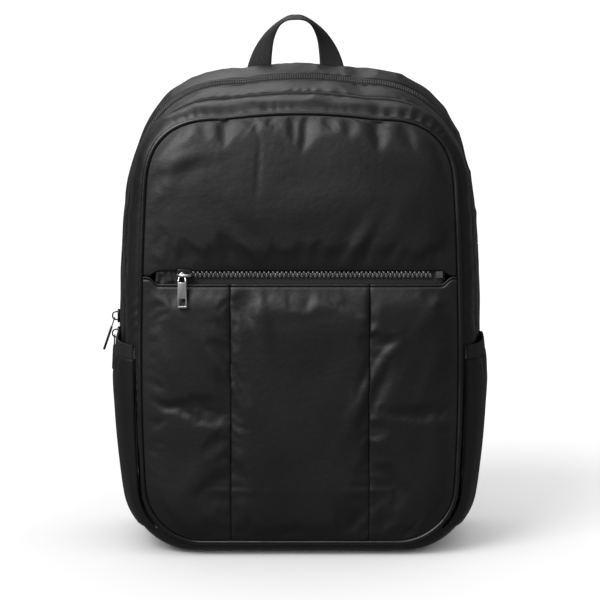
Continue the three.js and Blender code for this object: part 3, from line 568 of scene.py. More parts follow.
# %% [markdown]
# ## The bands round the bag
# Three bands of nylon go round the bag behind the front piping. A band is one closed skin: its outer face swells
# a little between its seams and gathers into small puckers where it is sewn, and its inner face is plain. The
# long zips take a strip out of it over the top, so its edges step aside there. The grid runs round the bag and
# across the band, which keeps the creases crossing the band as they do in the real cloth.

# %% Band shapes
ROUND = np.arange(900) / 900
FRONT_ZIP = {"depth": -0.275, "width": 9.0}
MAIN_ZIP = {"depth": 0.105, "width": 14.0}
ZIP_END = 148.0
FRONT_SEAM = -0.5 + (PIPING + GAP) / BAG_DEPTH
BAND_CREASES, BAND_RIPPLES = (26.0, 40.0, 26.0), (14.0, 30.0, 14.0)


def puckers(length, away, pitch, height, reach, seed):
    """Small gathers along a seam: waves of about one pitch whose phase and height drift, dying off with distance."""
    line = grid_of(length, 0, 0)
    drift = 2.5 * cloud(line, pitch * 2.2, seed)
    strength = np.clip(0.45 + 0.9 * cloud(line, pitch * 3.5, seed + 1), 0, 1.2)
    wave = np.sin(2 * np.pi * length / pitch + drift * 2.0)
    return height * strength * wave * bell(away, reach)


def beside_zip(zip_shape, direction, u):
    """The edge of a band: half a gap from the seam low down, and beside the zip's tape above the zip's end."""
    z = round_bag(zip_shape["depth"], u)[..., 2]
    away = GAP / 2 + (zip_shape["width"] / 2 + GAP / 2) * ease(z, ZIP_END - 4, ZIP_END + 4)
    return zip_shape["depth"] + direction * away / BAG_DEPTH


def cloth_band(name, front, back, puff, seed):
    """A closed skin round the bag. Out = puff sin(pi v)^0.7 + creases + puckers at both seams; edges turn in."""
    share, outer = out_and_back(0, 1, 30, 5)
    depth = front[:, None] + (back - front)[:, None] * share[None, :]
    u = ROUND[:, None]
    base = round_bag(depth, u)
    width = np.abs(back - front)[:, None] * BAG_DEPTH
    length = running_length(base, 0)[:, None]
    arch = np.sin(np.pi * share) ** 0.7
    higher = ease(base[..., 2], 10, 60)
    crease = 1.6 * ridges(base, BAND_CREASES, seed) - 0.6
    crease += 1.1 * cloud(base, BAND_RIPPLES, seed + 3)
    gathers = puckers(length, share * width, 11.0, 0.7, 7.0, seed + 5)
    gathers += puckers(length, (1 - share) * width, 13.0, 0.6, 6.0, seed + 8)
    turned = -1.5 * (bell(share * width, 1.1) + bell((1 - share) * width, 0.9))
    out = arch * (puff + crease * 0.8) * higher + gathers * higher + turned
    out = np.where(outer, out, -WALL)
    return skin(name, round_bag(depth, u, out), wrap_along=True, wrap_across=True)


front_band = cloth_band("front_band_cloth", np.full(900, FRONT_SEAM), beside_zip(FRONT_ZIP, -1, ROUND), 2.2, 11)
dress(front_band, band_nylon, "bag", "cloth", "front_gusset")
side_band = cloth_band("side_band_cloth", beside_zip(FRONT_ZIP, 1, ROUND), beside_zip(MAIN_ZIP, -1, ROUND), 2.4, 23)
dress(side_band, band_nylon, "bag", "cloth", "side_gusset")
back_band = cloth_band("back_band_cloth", beside_zip(MAIN_ZIP, 1, ROUND), np.full(900, 0.5), 2.0, 37)
dress(back_band, band_nylon, "bag", "cloth", "back_gusset")

# %% [markdown]
# ## Front piping
# A cord wrapped in the bag's own nylon stands in the seam between the front cloth and the first band. It could be
# a bevelled curve, but a ring of points carried round the outline follows the seam exactly and can be given the
# slight wobble of a sewn cord.

# %% The cord round the front
def piping():
    """A circle of radius PIPING carried round the front outline, its radius varied by a few hundredths."""
    turn = np.arange(14) / 14 * 2 * np.pi
    u = ROUND[:, None]
    centre = round_bag(-0.5, ROUND)
    wobble = 1 + 0.06 * cloud(centre, 12.0, 51) + 0.03 * cloud(centre, 3.5, 52)
    radius = PIPING * wobble[:, None]
    rings = round_bag(-0.5, u, radius * np.cos(turn))
    rings[..., 1] += radius * np.sin(turn)
    return skin("front_piping_cord", rings, wrap_along=True, wrap_across=True)


dress(piping(), piping_cloth, "bag", "piping", "front_piping")

# %% [markdown]
# ## The long zips
# Two coil zips run over the top of the bag. From outside one sees the back of a coil zip: a tape with a line of
# small ribs where the coil grips it, and two plain margins. The ribs are modelled, because they are what catches
# the light, and they are only waves in the height of a grid that runs along the zip.

# %% Ribbed zip tapes
def long_zip(name, zip_shape, ribs, rib_pitch, rib_height):
    """A tape round the top with ribs in its middle: height (|sin|^0.6 along the zip) inside a share of the width."""
    u = np.linspace(0.13, 0.87, 3600)
    z = round_bag(zip_shape["depth"], u)[..., 2]
    u = u[z > ZIP_END - 3]
    share, outer = out_and_back(-0.5, 0.5, 21, 4)
    u = u[:, None]
    depth = zip_shape["depth"] + share * zip_shape["width"] / BAG_DEPTH
    base = round_bag(depth, u)
    length = running_length(base, 0)[:, None]
    inside = ease(ribs - np.abs(share), -0.03, 0.03)
    wave = np.abs(np.sin(np.pi * length / rib_pitch)) ** 0.7
    split = bell(share, 0.02)
    stitched = -0.25 * bell(np.abs(share) - ribs - 0.08, 0.03)
    sway = 0.5 * cloud(base, 24.0, 61)
    out = 0.15 + sway + inside * (0.35 + rib_height * wave) * (1 - 0.8 * split) + stitched
    out = np.where(outer, out, -WALL * 0.7)
    return skin(name, round_bag(depth, u, out), wrap_across=True, caps=True)


dress(long_zip("front_compartment_zip_tape", FRONT_ZIP, 0.24, 1.7, 0.7), coil_nylon, "bag", "coil",
      "front_compartment_zip")
dress(long_zip("main_zip_tape", MAIN_ZIP, 0.3, 2.1, 0.8), coil_nylon, "bag", "coil", "main_zip")

# %% [markdown]
# ## Front cloth
# The front is one thin nylon sheet above the pocket zip and three below it. Such cloth is cut a little larger than
# the frame that it is sewn into, so it swells and gathers in long pulls that start at the corners. The sheet
# begins as a smooth swell with the main pulls from a short table, and then a cloth simulation grows it by a few
# percent with its edges held, which gives creases that no formula would.

# %% The swell and its folds
ZIP_HEIGHT, CHAIN_HALF, LIP_DROP, POCKET_SEAM = 248.6, 2.8, 8.4, 60.0
FRONT_PUFF, POCKET_PUFF, ZIP_VALLEY, VALLEY_FLAT, VALLEY_WIDTH, UPPER_VALLEY = 7.0, 6.0, 0.75, 7.0, 20.0, 9.0
FOLD_SHARE, CRUMPLE, CRUMPLE_SIZE = 0.55, 0.6, (36.0, 30.0, 30.0)
PANEL = {name: float(value) for name, value in section_at(-0.5, -(PIPING + 0.1)).items()}
FOLD_COLUMNS = ("x", "z", "angle", "length", "width", "height", "bend")
UPPER_FOLDS = np.array([
    (-0.362, 1.02, 50, 0.10, 0.022, 0.014, 0.0),
    (-0.335, 1.045, 25, 0.05, 0.02, -0.014, 0.0),
    (-0.41, 0.9, 75, 0.10, 0.02, 0.007, 0.1),
    (-0.3, 1.09, 12, 0.10, 0.02, 0.008, 0.0),
    (0.33, 1.07, 150, 0.12, 0.022, 0.01, 0.0),
    (0.4, 0.98, 110, 0.12, 0.022, 0.008, -0.1),
    (-0.14, 0.855, 128, 0.09, 0.018, 0.009, 0.2),
    (-0.17, 0.9, 140, 0.12, 0.03, -0.006, 0.1),
    (0.16, 0.87, 60, 0.10, 0.02, 0.009, -0.2),
    (0.19, 0.92, 50, 0.12, 0.03, -0.006, 0.0),
    (0.0, 0.95, 5, 0.2, 0.04, 0.004, 0.1),
])
POCKET_FOLDS = np.array([
    (-0.33, 0.66, 128, 0.16, 0.022, 0.011, 0.3),
    (-0.27, 0.58, 122, 0.18, 0.022, -0.009, 0.3),
    (-0.2, 0.5, 118, 0.16, 0.024, 0.008, 0.2),
    (-0.36, 0.55, 115, 0.14, 0.02, 0.008, 0.2),
    (-0.1, 0.66, 100, 0.09, 0.02, 0.006, 0.1),
    (0.33, 0.65, 52, 0.16, 0.022, 0.011, -0.3),
    (0.27, 0.57, 58, 0.18, 0.022, -0.009, -0.3),
    (0.2, 0.49, 62, 0.16, 0.024, 0.008, -0.2),
    (0.37, 0.54, 66, 0.14, 0.02, 0.008, -0.2),
    (0.02, 0.69, 8, 0.12, 0.02, 0.005, 0.1),
    (-0.3, 0.2, 60, 0.12, 0.03, 0.006, 0.1),
    (0.32, 0.2, 120, 0.12, 0.03, 0.006, -0.1),
])


def fold_height(x, z, folds):
    """Each fold is a long bell along its line and a ridge with a shallow trough on each side across it."""
    total = np.zeros(np.broadcast(x, z).shape)
    for row in folds:
        fold = dict(zip(FOLD_COLUMNS, row))
        turn = math.radians(fold["angle"])
        dx, dz = x / BAG_WIDTH - fold["x"], z / BAG_WIDTH - fold["z"]
        along = (dx * math.cos(turn) + dz * math.sin(turn)) / fold["length"]
        across = (dz * math.cos(turn) - dx * math.sin(turn)) / fold["width"] - fold["bend"] * along**2
        height = fold["height"] * BAG_WIDTH * np.exp(-(along**2))
        total += height * (1 - 0.5 * across**2) * np.exp(-(across**2) / 2)
    return total


def front_point(x, z, puff, folds):
    """The front cloth at x and z: a swell that dies at the piping and is held in by the zip, plus the folds."""
    half = edge_at(PANEL, z)
    width = np.where(z > ZIP_HEIGHT, UPPER_VALLEY, VALLEY_WIDTH)
    held = np.exp(-np.maximum(np.abs(z - ZIP_HEIGHT) - VALLEY_FLAT * (z < ZIP_HEIGHT), 0) / width)
    sideways = (1 - np.minimum(np.abs(x) / half, 1) ** (3 + 3 * held)) * (1 - ZIP_VALLEY * held)
    swell = sideways * upright(PANEL, z) * (puff + FOLD_SHARE * fold_height(x, z, folds))
    lifted = z + crown_at(PANEL, x, z)
    return np.stack([x, depth_at(-0.5, z) - swell - WALL / 2, lifted], axis=-1)


def close_ends(points, mouth, meet):
    """Beyond the zip's ends the edge at mouth moves towards meet, fading over 24 mm of height: the cloths join."""
    half = edge_at(PANEL, points[..., 2])
    beyond = ease(np.abs(points[..., 0]) / half, 0.905, 0.965)
    near = np.clip(1 - np.abs(points[..., 2] - mouth) / 24.0, 0, 1) ** 2
    points[..., 2] += (meet - mouth) * beyond * near
    return points


# %% [markdown]
# ## Letting the cloth settle
# The simulation holds the sewn edges, grows the sheet by a few percent and pushes gently from inside, with
# gravity off. After some frames the result is read back, each point's move is capped, and the modifier is thrown
# away, so what stays is a plain mesh.

# %% A cloth simulation with held edges
CLOTH = {
    "quality": 6, "mass": 0.12, "tension_stiffness": 25, "compression_stiffness": 25, "shear_stiffness": 12,
    "bending_stiffness": 0.6, "tension_damping": 8, "compression_damping": 8, "pin_stiffness": 1.0,
}
SETTLE_FRAMES, EDGE_FADE = 30, 22.0


def settle(obj, held, fade, grow, push, cap):
    """Grows and presses the sheet, then moves each vertex by its simulated way times fade, at most cap millimetres."""
    start = read(obj.data.vertices, "co", 3, np.float32)
    group = obj.vertex_groups.new(name="sewn")
    for weight in np.unique(held[held > 0]):
        group.add(np.flatnonzero(held == weight).tolist(), float(weight), "REPLACE")
    cloth = obj.modifiers.new("settle", "CLOTH")
    settings = cloth.settings
    for key, value in CLOTH.items():
        setattr(settings, key, value)
    settings.vertex_group_mass = group.name
    settings.shrink_min = -grow
    settings.use_pressure = True
    settings.uniform_pressure_force = push
    settings.effector_weights.gravity = 0
    cloth.collision_settings.use_collision = False
    cloth.point_cache.frame_start = 1
    cloth.point_cache.frame_end = SETTLE_FRAMES
    scene = bpy.context.scene
    for number in range(1, SETTLE_FRAMES + 1):
        scene.frame_set(number)
    evaluated = obj.evaluated_get(bpy.context.evaluated_depsgraph_get())
    way = read(evaluated.data.vertices, "co", 3, np.float32) - start
    obj.modifiers.remove(cloth)
    scene.frame_set(1)
    far = np.linalg.norm(way, axis=1, keepdims=True)
    limited = way * fade[:, None] * np.minimum(1, cap * MM / np.maximum(far, 1e-9))
    obj.data.vertices.foreach_set("co", (start + limited).astype(np.float32).ravel())
    obj.data.update()
    obj.vertex_groups.clear()
    print(obj.name, "settled, mean move", round(float(far.mean()) / MM, 2), "mm, most", round(float(far.max()) / MM, 2))


def from_edges(points):
    """0 on a grid's border and 1 beyond EDGE_FADE millimetres, with an S-curve between."""
    rows = running_length(points, 0)
    columns = running_length(points, 1)
    away_rows = np.minimum(rows, rows[-1] - rows)[:, None]
    away_columns = np.minimum(columns, columns[-1] - columns)[None, :]
    return ease(np.minimum(away_rows, away_columns), 0.0, EDGE_FADE).ravel()


SEAM_HOLD = 0.3


def edge_weights(rows, columns, seams=()):
    """1 on the sheet's border, a softer hold along the columns of its seams, 0 elsewhere."""
    held = np.zeros((rows, columns))
    held[:, list(seams)] = SEAM_HOLD
    held[[0, -1], :] = 1
    held[:, [0, -1]] = 1
    return held.ravel()


# %% [markdown]
# ## The cloth above the zip
# Its rows run from the zip up to the piping and crowd in the round corners. Every point moves less the nearer it
# is to a sewn edge, so the seams stay where the frame has them.

# %% The upper front cloth
def crumpled(x, z, share, puff, folds, seed):
    """The front cloth over a grid, with a faint random crumple that dies where the share of the width nears 1."""
    points = front_point(x, np.broadcast_to(z, x.shape), puff, folds)
    inside = np.clip((1 - np.abs(share)) * 6, 0, 1)
    points[..., 1] -= inside * CRUMPLE * cloud(points, CRUMPLE_SIZE, seed)
    return points


upper_heights = np.concatenate([
    np.linspace(ZIP_HEIGHT + CHAIN_HALF + GAP, PANEL["top"] - PANEL["drop"], 28)[:-1],
    top_rows(PANEL, 26),
])
upper_z = upper_heights[:, None]
upper_share = np.linspace(-1, 1, 104)
upper_x = edge_at(PANEL, upper_z) * upper_share
upper_points = crumpled(upper_x, upper_z, upper_share, FRONT_PUFF, UPPER_FOLDS, 71)
upper_points = close_ends(upper_points, upper_heights[0], ZIP_HEIGHT - 1.8)
upper_cloth = skin("front_cloth", upper_points, facing=(0, -1, 0))
settle(upper_cloth, edge_weights(*upper_points.shape[:2]), from_edges(upper_points), 0.016, 1.2, 2.2)
wall(rounder(upper_cloth), WALL)
dress(upper_cloth, nylon, "bag", "cloth", "front_panel")

# %% [markdown]
# ## Pocket cloth
# Below the zip the front is sewn from three pieces with two vertical seams. They settle together as one sheet,
# so that the pulls run across the seams, and are then cut apart. Each cut edge turns inwards, which draws the
# seam as a fine dark line with puckers beside it.

# %% The three pocket cloths
SIDE_COLUMNS, CENTRE_COLUMNS, LIP_FINE = 32, 46, 4.2


def pocket_grid():
    """The left, centre and right cloths share one grid. Its columns are even from seam to edge at every height."""
    lip = ZIP_HEIGHT - LIP_DROP
    heights = np.concatenate([
        base_rows(PANEL, 16),
        np.linspace(PANEL["bottom"] + PANEL["base"], lip - LIP_FINE, 66)[:-1],
        lip - np.linspace(LIP_FINE, 0, 8),
    ])
    z = heights[:, None]
    edge = edge_at(PANEL, z)
    side = POCKET_SEAM + (edge - POCKET_SEAM) * np.linspace(0, 1, SIDE_COLUMNS)
    centre = np.linspace(-POCKET_SEAM, POCKET_SEAM, CENTRE_COLUMNS)[1:-1] + 0 * z
    x = np.concatenate([-side[:, ::-1], centre, side], axis=1)
    points = crumpled(x, z, x / edge, POCKET_PUFF, POCKET_FOLDS, 83)
    return close_ends(points, heights[-1], ZIP_HEIGHT - 2.1)


seam_left, seam_right = SIDE_COLUMNS - 1, SIDE_COLUMNS + CENTRE_COLUMNS - 2
pocket_points = pocket_grid()
settled = skin("pocket_cloth", pocket_points, facing=(0, -1, 0))
held_seams = edge_weights(*pocket_points.shape[:2], (seam_left, seam_right))
settle(settled, held_seams, from_edges(pocket_points), 0.014, 1.0, 2.0)
pocket_points = read(settled.data.vertices, "co", 3).reshape(pocket_points.shape) / MM
bpy.data.objects.remove(settled)


def pocket_cloth(name, first, last, turned):
    """Columns first to last of the settled sheet. Its seam edges turn in, and its lip gets a stitched hem."""
    grid = pocket_points[:, first : last + 1].copy()
    for column, side in turned:
        away = np.abs(grid[..., 0] - grid[:, [column], 0])
        grid[..., 1] += 0.55 * bell(away, 1.0)
        grid[..., 1] -= puckers(grid[..., 2], away, 14.0, 0.22, 6.0, 91 + first)
        grid[:, column, 0] += side * 0.03
    below = grid[-1:, :, 2] - grid[..., 2]
    grid[..., 1] -= 0.7 * bell(below - 0.9, 0.8) - 0.8 * bell(below - 2.7, 0.6)
    return wall(rounder(skin(name, grid, facing=(0, -1, 0))), WALL)


for word, first, last, turned in (
    ("left", 0, seam_left, [(-1, -1)]),
    ("centre", seam_left, seam_right, [(0, 1), (-1, -1)]),
    ("right", seam_right, pocket_points.shape[1] - 1, [(0, 1)]),
):
    dress(pocket_cloth("pocket_cloth_" + word, first, last, turned), nylon, "bag", "cloth", "pocket_panel_" + word)

# %% [markdown]
# ## The pocket zip
# The pocket closes with a chunky moulded zip: woven tapes, and teeth like small rounded blocks with a waist and a
# head that lock into the other row. One tooth is a short skin, and numpy repeats it along the rows. The chain
# stands in the plane of the frame's own teeth.

# %% Tapes and teeth
def node_box(name):
    """A frame node's low and high corners, in millimetres."""
    low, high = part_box(name)
    return np.array(low) / MM, np.array(high) / MM


teeth_low, teeth_high = node_box("front_zip_teeth_upper")
ZIP_LEFT, ZIP_RIGHT = teeth_low[0], teeth_high[0]
CHAIN_BACK, CHAIN_FRONT = teeth_high[1], teeth_low[1]
TOOTH_PITCH, TAPE_WIDTH, FIRST_TOOTH = 3.8, 9.0, 0.8
TOOTH = {"half": 1.45, "taper": 0.85, "thick": 1.3, "past_middle": 1.25, "square": 0.6}


def tape(name, side):
    """A thin woven strip behind the chain with a cord along its inner edge: a bell of 0.5 mm at the edge."""
    low, high = node_box("front_zip_tape_" + name)
    x = np.linspace(low[0], high[0], 420)[:, None]
    share, outer = out_and_back(0, 1, 14, 4)
    near, far = ZIP_HEIGHT + side * GAP / 2, ZIP_HEIGHT + side * TAPE_WIDTH
    front = CHAIN_BACK + 0.35 + 1.6 * (x / 150) ** 2
    ends = ease(-x, 104, 110) + ease(x, 116, 121)
    points = grid_of(x, 0, near + (far - near) * share)
    ripple = ends * (0.5 + 1.1 * cloud(points, 3.2, 63) + 0.5 * np.sin(x / 0.9 + 2 * cloud(points, 5.0, 64)))
    points[..., 1] = np.where(outer, front - 0.5 * bell(share, 0.12) - ripple, front + 0.8)
    return skin("front_zip_tape_cloth_" + name, points, wrap_across=True, caps=True)


def tooth_rows(name, side, start):
    """Teeth a pitch apart. A tooth is a wedge from the tape to past the middle, w = half - taper t, with rounded
    ends and a rounded rectangle for its section, so the two rows meet in a zigzag."""
    t = np.linspace(0, 1, 12)
    angle = np.arange(12) / 12 * 2 * np.pi
    round_ends = np.clip(np.minimum(t / 0.12, (1 - t) / 0.14), 0, 1) ** 0.5
    half = (TOOTH["half"] - TOOTH["taper"] * t) * round_ends
    thick = TOOTH["thick"] * round_ends * (1 - 0.15 * t)
    along = side * (CHAIN_HALF - (CHAIN_HALF + TOOTH["past_middle"]) * t)
    form = grid_of(
        half[:, None] * signed_power(np.cos(angle), TOOTH["square"]),
        (CHAIN_BACK + CHAIN_FRONT) / 2 + thick[:, None] * signed_power(np.sin(angle), TOOTH["square"]),
        ZIP_HEIGHT + along[:, None],
    )
    single = skin("tooth", form, wrap_across=True, caps=True)
    co = read(single.data.vertices, "co", 3)
    corners = read(single.data.loops, "vertex_index", kind=int)
    sizes = read(single.data.polygons, "loop_total", kind=int)
    bpy.data.objects.remove(single)
    places = np.arange(start, ZIP_RIGHT, TOOTH_PITCH)
    vertices = (co + grid_of(places, 0, 0)[:, None] * MM).reshape(-1, 3)
    faces = (corners + len(co) * np.arange(len(places))[:, None]).ravel()
    return mesh_object("front_zip_teeth_" + name + "_row", vertices, faces, np.tile(sizes, len(places)))


for word, side, lag in (("upper", 1, 0), ("lower", -1, TOOTH_PITCH / 2)):
    dress(tape(word, side), tape_cloth, "bag", "zip_tape", "front_zip_tape_" + word)
    dress(tooth_rows(word, side, ZIP_LEFT + FIRST_TOOTH + lag), tooth_lacquer, "bag", "teeth", "front_zip_teeth_" + word)
paint(frame["nodes"]["front_zip_stop"], tooth_lacquer)

# %% [markdown]
# ## Metal plates
# Sliders and pulls are stamped and cast, with flat faces, rounded edges and windows. A flat curve with its holes,
# thickened and bevelled by the curve itself and then made a mesh, gives exactly that, and the bevel keeps a thin
# highlight along every edge. The place is applied to the mesh, so each piece sits at the origin.

# %% Plates from outlines
def rounded(width, height, radius, centre=(0.0, 0.0)):
    """A rectangle's outline with quarter-circle corners."""
    turn = np.linspace(0, np.pi / 2, 6)
    corners = [(1, 1, 0), (-1, 1, 1), (-1, -1, 2), (1, -1, 3)]
    loops = [
        np.stack([
            sx * (width / 2 - radius) + radius * np.cos(turn + quarter * np.pi / 2),
            sy * (height / 2 - radius) + radius * np.sin(turn + quarter * np.pi / 2),
        ], axis=-1)
        for sx, sy, quarter in corners
    ]
    return np.concatenate(loops) + np.asarray(centre)


def plate(name, loops, thick, bevel, matrix):
    """A plate from closed outlines in millimetres, holes included, placed by a matrix of columns and an origin."""
    curve = bpy.data.curves.new(name, "CURVE")
    curve.dimensions = "2D"
    curve.fill_mode = "BOTH"
    curve.extrude = (thick / 2 - bevel) * MM
    curve.bevel_depth = bevel * MM
    curve.bevel_resolution = 2
    curve.offset = -bevel * MM
    for loop in loops:
        spline = curve.splines.new("POLY")
        spline.points.add(len(loop) - 1)
        flat = np.concatenate([np.asarray(loop) * MM, np.zeros((len(loop), 1)), np.ones((len(loop), 1))], axis=1)
        spline.points.foreach_set("co", flat.ravel())
        spline.use_cyclic_u = True
    holder = link(name, curve)
    mesh = bpy.data.meshes.new_from_object(holder.evaluated_get(bpy.context.evaluated_depsgraph_get()))
    bpy.data.objects.remove(holder)
    mesh.transform(matrix)
    mesh.name = name
    obj = link(name, mesh)
    tidy_mesh(obj)
    return obj


CRISP_DEGREES = 35.0


def tidy_mesh(obj):
    """Merges doubles, turns the faces out and keeps edges sharper than CRISP_DEGREES crisp."""
    work = bmesh.new()
    work.from_mesh(obj.data)
    bmesh.ops.remove_doubles(work, verts=work.verts, dist=1e-6)
    bmesh.ops.recalc_face_normals(work, faces=work.faces)
    work.to_mesh(obj.data)
    work.free()
    obj.data.polygons.foreach_set("use_smooth", np.ones(len(obj.data.polygons), bool))
    obj.data.set_sharp_from_angle(angle=math.radians(CRISP_DEGREES))


def place(across, along, out, origin):
    """A matrix whose columns are a plate's own x, y and z directions, with an origin in millimetres."""
    matrix = Matrix((across, along, out)).transposed().to_4x4()
    matrix.translation = Vector(origin) * MM
    return matrix


def join(name, parts):
    """Joins several finished meshes into one object."""
    with bpy.context.temp_override(active_object=parts[0], selected_editable_objects=parts):
        bpy.ops.object.join()
    parts[0].name = name
    parts[0].data.name = name
    return parts[0]


def wire(name, path, across, width, thick):
    """A rounded strap of metal along a path: a superellipse section carried with a fixed across direction."""
    path = np.asarray(path, float)
    across = np.asarray(across, float)
    out = np.cross(unit(np.gradient(path, axis=0)), across)
    turn = np.arange(16) / 16 * 2 * np.pi
    rings = (
        path[:, None]
        + signed_power(np.cos(turn), 0.7)[None, :, None] * across * width / 2
        + signed_power(np.sin(turn), 0.7)[None, :, None] * out[:, None] * thick / 2
    )
    return skin(name, rings, wrap_across=True, caps=True)


def arch_path(length, rise):
    """Half a superellipse from foot to foot: x = a cos t, height = rise sin t, each to the power 0.75."""
    turn = np.linspace(0, np.pi, 40)
    return length / 2 * signed_power(np.cos(turn), 0.75), rise * signed_power(np.sin(turn), 0.75)


# %% [markdown]
# ## The pocket slider and its pull
# The slider is a shield-shaped face over the chain with a bridge on it. The face is painted in the far darker copy
# of the gunmetal as shade, so that it reads dark under the plain, lighter bridge. A stirrup goes through the
# bridge and carries the pull, a flat bar that widens to its end and has a square window there. The pull hangs on
# its own body, so it can swing.

# %% The pocket slider
pull_low, pull_high = node_box("front_pull")
slider_low, slider_high = node_box("front_slider")
hinges = {joint["name"]: np.array(joint["pos_m"]) / MM for joint in frame["joints"]}
front_hinge = hinges["front_pull_swing"]
OUTWARD, UP, RIGHT = Vector((0, -1, 0)), Vector((0, 0, 1)), Vector((1, 0, 0))


def shield(length, width):
    """A slider's outline: wide shoulders towards +x, where the rows part, and a narrower round tail."""
    t = np.linspace(0, 2 * np.pi, 48, endpoint=False)
    x = signed_power(np.cos(t), 0.55) * length / 2
    y = signed_power(np.sin(t), 0.55) * width / 2
    return np.stack([x, y * (0.93 + 0.07 * np.tanh(-x / length * 6))], axis=-1)


def mirrored(side):
    """A closed outline from its left side, listed downwards."""
    side = np.array(side)
    return np.concatenate([side, side[::-1] * (-1, 1)])


FACE_THICK, FACE_BEVEL = 1.8, 0.45
slider_middle, slider_size = (slider_low + slider_high) / 2, slider_high - slider_low


def slider_face():
    """The slider's top plate, over the chain and between the frame slider's own corners."""
    centre = (slider_middle[0], CHAIN_FRONT - GAP - FACE_THICK / 2, slider_middle[2])
    outline = shield(slider_size[0], slider_size[2])
    return plate("front_slider_face", [outline], FACE_THICK, FACE_BEVEL, place(RIGHT, UP, OUTWARD, centre))


def slider_bridge():
    """The arch over the plate, which runs along the zip and carries the pull."""
    foot = CHAIN_FRONT - GAP - 1.4
    x, rise = arch_path(slider_size[0] * 0.9, foot - front_hinge[1])
    path = grid_of(slider_middle[0] + x, foot - rise, slider_middle[2])
    return wire("front_slider_bridge", path, (0, 0, 1), 2.4, 1.5)


# The face wears the far darker gunmetal as painted shade; the bridge keeps the plain gunmetal.
dress(slider_face(), shaded_gunmetal, "bag", "gunmetal", "front_slider")
dress(slider_bridge(), gunmetal, "bag", "gunmetal")

# %% [markdown]
# ## The pull on the pocket
# The pull is a cast bar with a window near its end, under a stirrup whose half is drawn through six given points
# and mirrored. Both are placed from the hinge of the frame's joint, so that the pull turns about it.

# %% The pocket pull
STIRRUP = np.array([
    (3.2, 0.0, -6.4), (3.1, 0.1, -4.2), (2.6, 1.1, -2.0), (2.0, 2.0, 0.0), (1.3, 2.4, 1.2), (0.0, 2.4, 1.7),
])
PULL = {"top": 5.8, "neck": 3.7, "cut": 0.4, "chamfer": 0.5, "thick": 1.6, "bevel": 0.45}
PULL_WINDOW = {"width": 5.6, "height": 6.2, "corner": 0.4, "above_end": 1.8}


def pocket_pull():
    """A stirrup behind the bridge, and a bar that widens to its end, with a square window low down."""
    ring = np.concatenate([STIRRUP + front_hinge, STIRRUP[-2::-1] * (-1, 1, 1) + front_hinge])
    loop = wire("pull_loop", curve_through(ring, 60), (0, 1, 0), 1.3, 1.5)
    top, low = front_hinge[2] - PULL["top"], pull_low[2]
    wide, narrow = (pull_high[0] - pull_low[0]) / 2, PULL["neck"]
    outline = mirrored([
        (-narrow + PULL["cut"], top), (-narrow, top - PULL["chamfer"]),
        (-wide, low + PULL["chamfer"]), (-wide + PULL["chamfer"], low),
    ])
    middle = low + PULL_WINDOW["above_end"] + PULL_WINDOW["height"] / 2
    window = rounded(PULL_WINDOW["width"], PULL_WINDOW["height"], PULL_WINDOW["corner"], (0, middle))
    matrix = place(RIGHT, UP, OUTWARD, (front_hinge[0], front_hinge[1], 0))
    return join("front_pull_bar", [plate("pull_bar", [outline, window], PULL["thick"], PULL["bevel"], matrix), loop])


dress(pocket_pull(), gunmetal, "front_pull_body", "gunmetal", "front_pull")

# %% [markdown]
# ## The side sliders
# On the left side the main zip has two sliders that meet above the pocket. Each is seen from its edge: an arch
# with light showing through it, and a long thin pull. The pull has a slot through which the arch passes.

# %% Side sliders and pulls
LEFT, BACK = Vector((-1, 0, 0)), Vector((0, 1, 0))
ARCH_LENGTH, ARCH_THICK, ARCH_WIDTH = 8.6, 1.3, 1.6
# Outlines from the hinge downwards, in millimetres: the slotted loop round the arch, and the tab with its window.
SIDE_SLOT = [rounded(4.8, 9.8, 0.6, (0, -4.45)), rounded(2.6, 8.3, 0.4, (0, -4.55))]
SIDE_TAB = [
    mirrored([(-2.7, -8.8), (-3.7, -12.2), (-3.7, -29.6), (-3.0, -30.3)]),
    rounded(4.4, 5.2, 0.4, (0, -26.2)),
]
SLOT_THICK, TAB_THICK = 1.0, 2.1
PULL_LEAN = {"upper": 19.0, "lower": 3.0}


def side_slider(name):
    """A plate over the tape and an arch on it, inside the frame slider's box."""
    low, high = node_box(name)
    middle = (low + high) / 2
    face = high[0] - 1.9
    outline = shield(high[2] - low[2], high[1] - low[1])
    body = plate(name + "_face", [outline], FACE_THICK, 0.4, place(UP, BACK, LEFT, (face, middle[1], middle[2])))
    foot = face - 0.5
    z, rise = arch_path(ARCH_LENGTH - ARCH_THICK, foot - low[0] - ARCH_THICK / 2)
    arch = wire(name + "_arch", grid_of(foot - rise, middle[1], middle[2] + z), (0, 1, 0), ARCH_WIDTH, ARCH_THICK)
    return join(name + "_body", [body, arch])


def side_pull(name, hinge, lean):
    """A slotted loop below its hinge bar and a tab with a window, leaning out by an angle in degrees."""
    turn = math.radians(lean)
    down = Vector((-math.sin(turn), 0, -math.cos(turn)))
    out = Vector((-math.cos(turn), 0, math.sin(turn)))
    matrix = place(-BACK, -down, out, hinge)
    loop = plate(name + "_loop", SIDE_SLOT, SLOT_THICK, 0.25, matrix)
    return join(name + "_bar", [plate(name + "_tab", SIDE_TAB, TAB_THICK, 0.6, matrix), loop])


# The side sliders, their pulls and the frame's front compartment slider wear the same far darker gunmetal copy that
# paints shade on the pocket slider's face.
for level, lean in PULL_LEAN.items():
    dress(side_slider("main_slider_" + level), shaded_gunmetal, "bag", "gunmetal", "main_slider_" + level)
    pull = side_pull("main_pull_" + level, hinges["main_pull_" + level + "_swing"], lean)
    dress(pull, shaded_gunmetal, "main_pull_" + level + "_body", "gunmetal", "main_pull_" + level)
paint(frame["nodes"]["front_compartment_slider"], shaded_gunmetal)

# %% [markdown]
# ## Side pockets
# A side pocket is a piece of nylon sewn on three sides over the bands, with a band of tape round its mouth that
# draws it in. Its cloth bags out in the middle and has gathers under the tape. The grid runs up the pocket and
# from its front seam to its back seam.

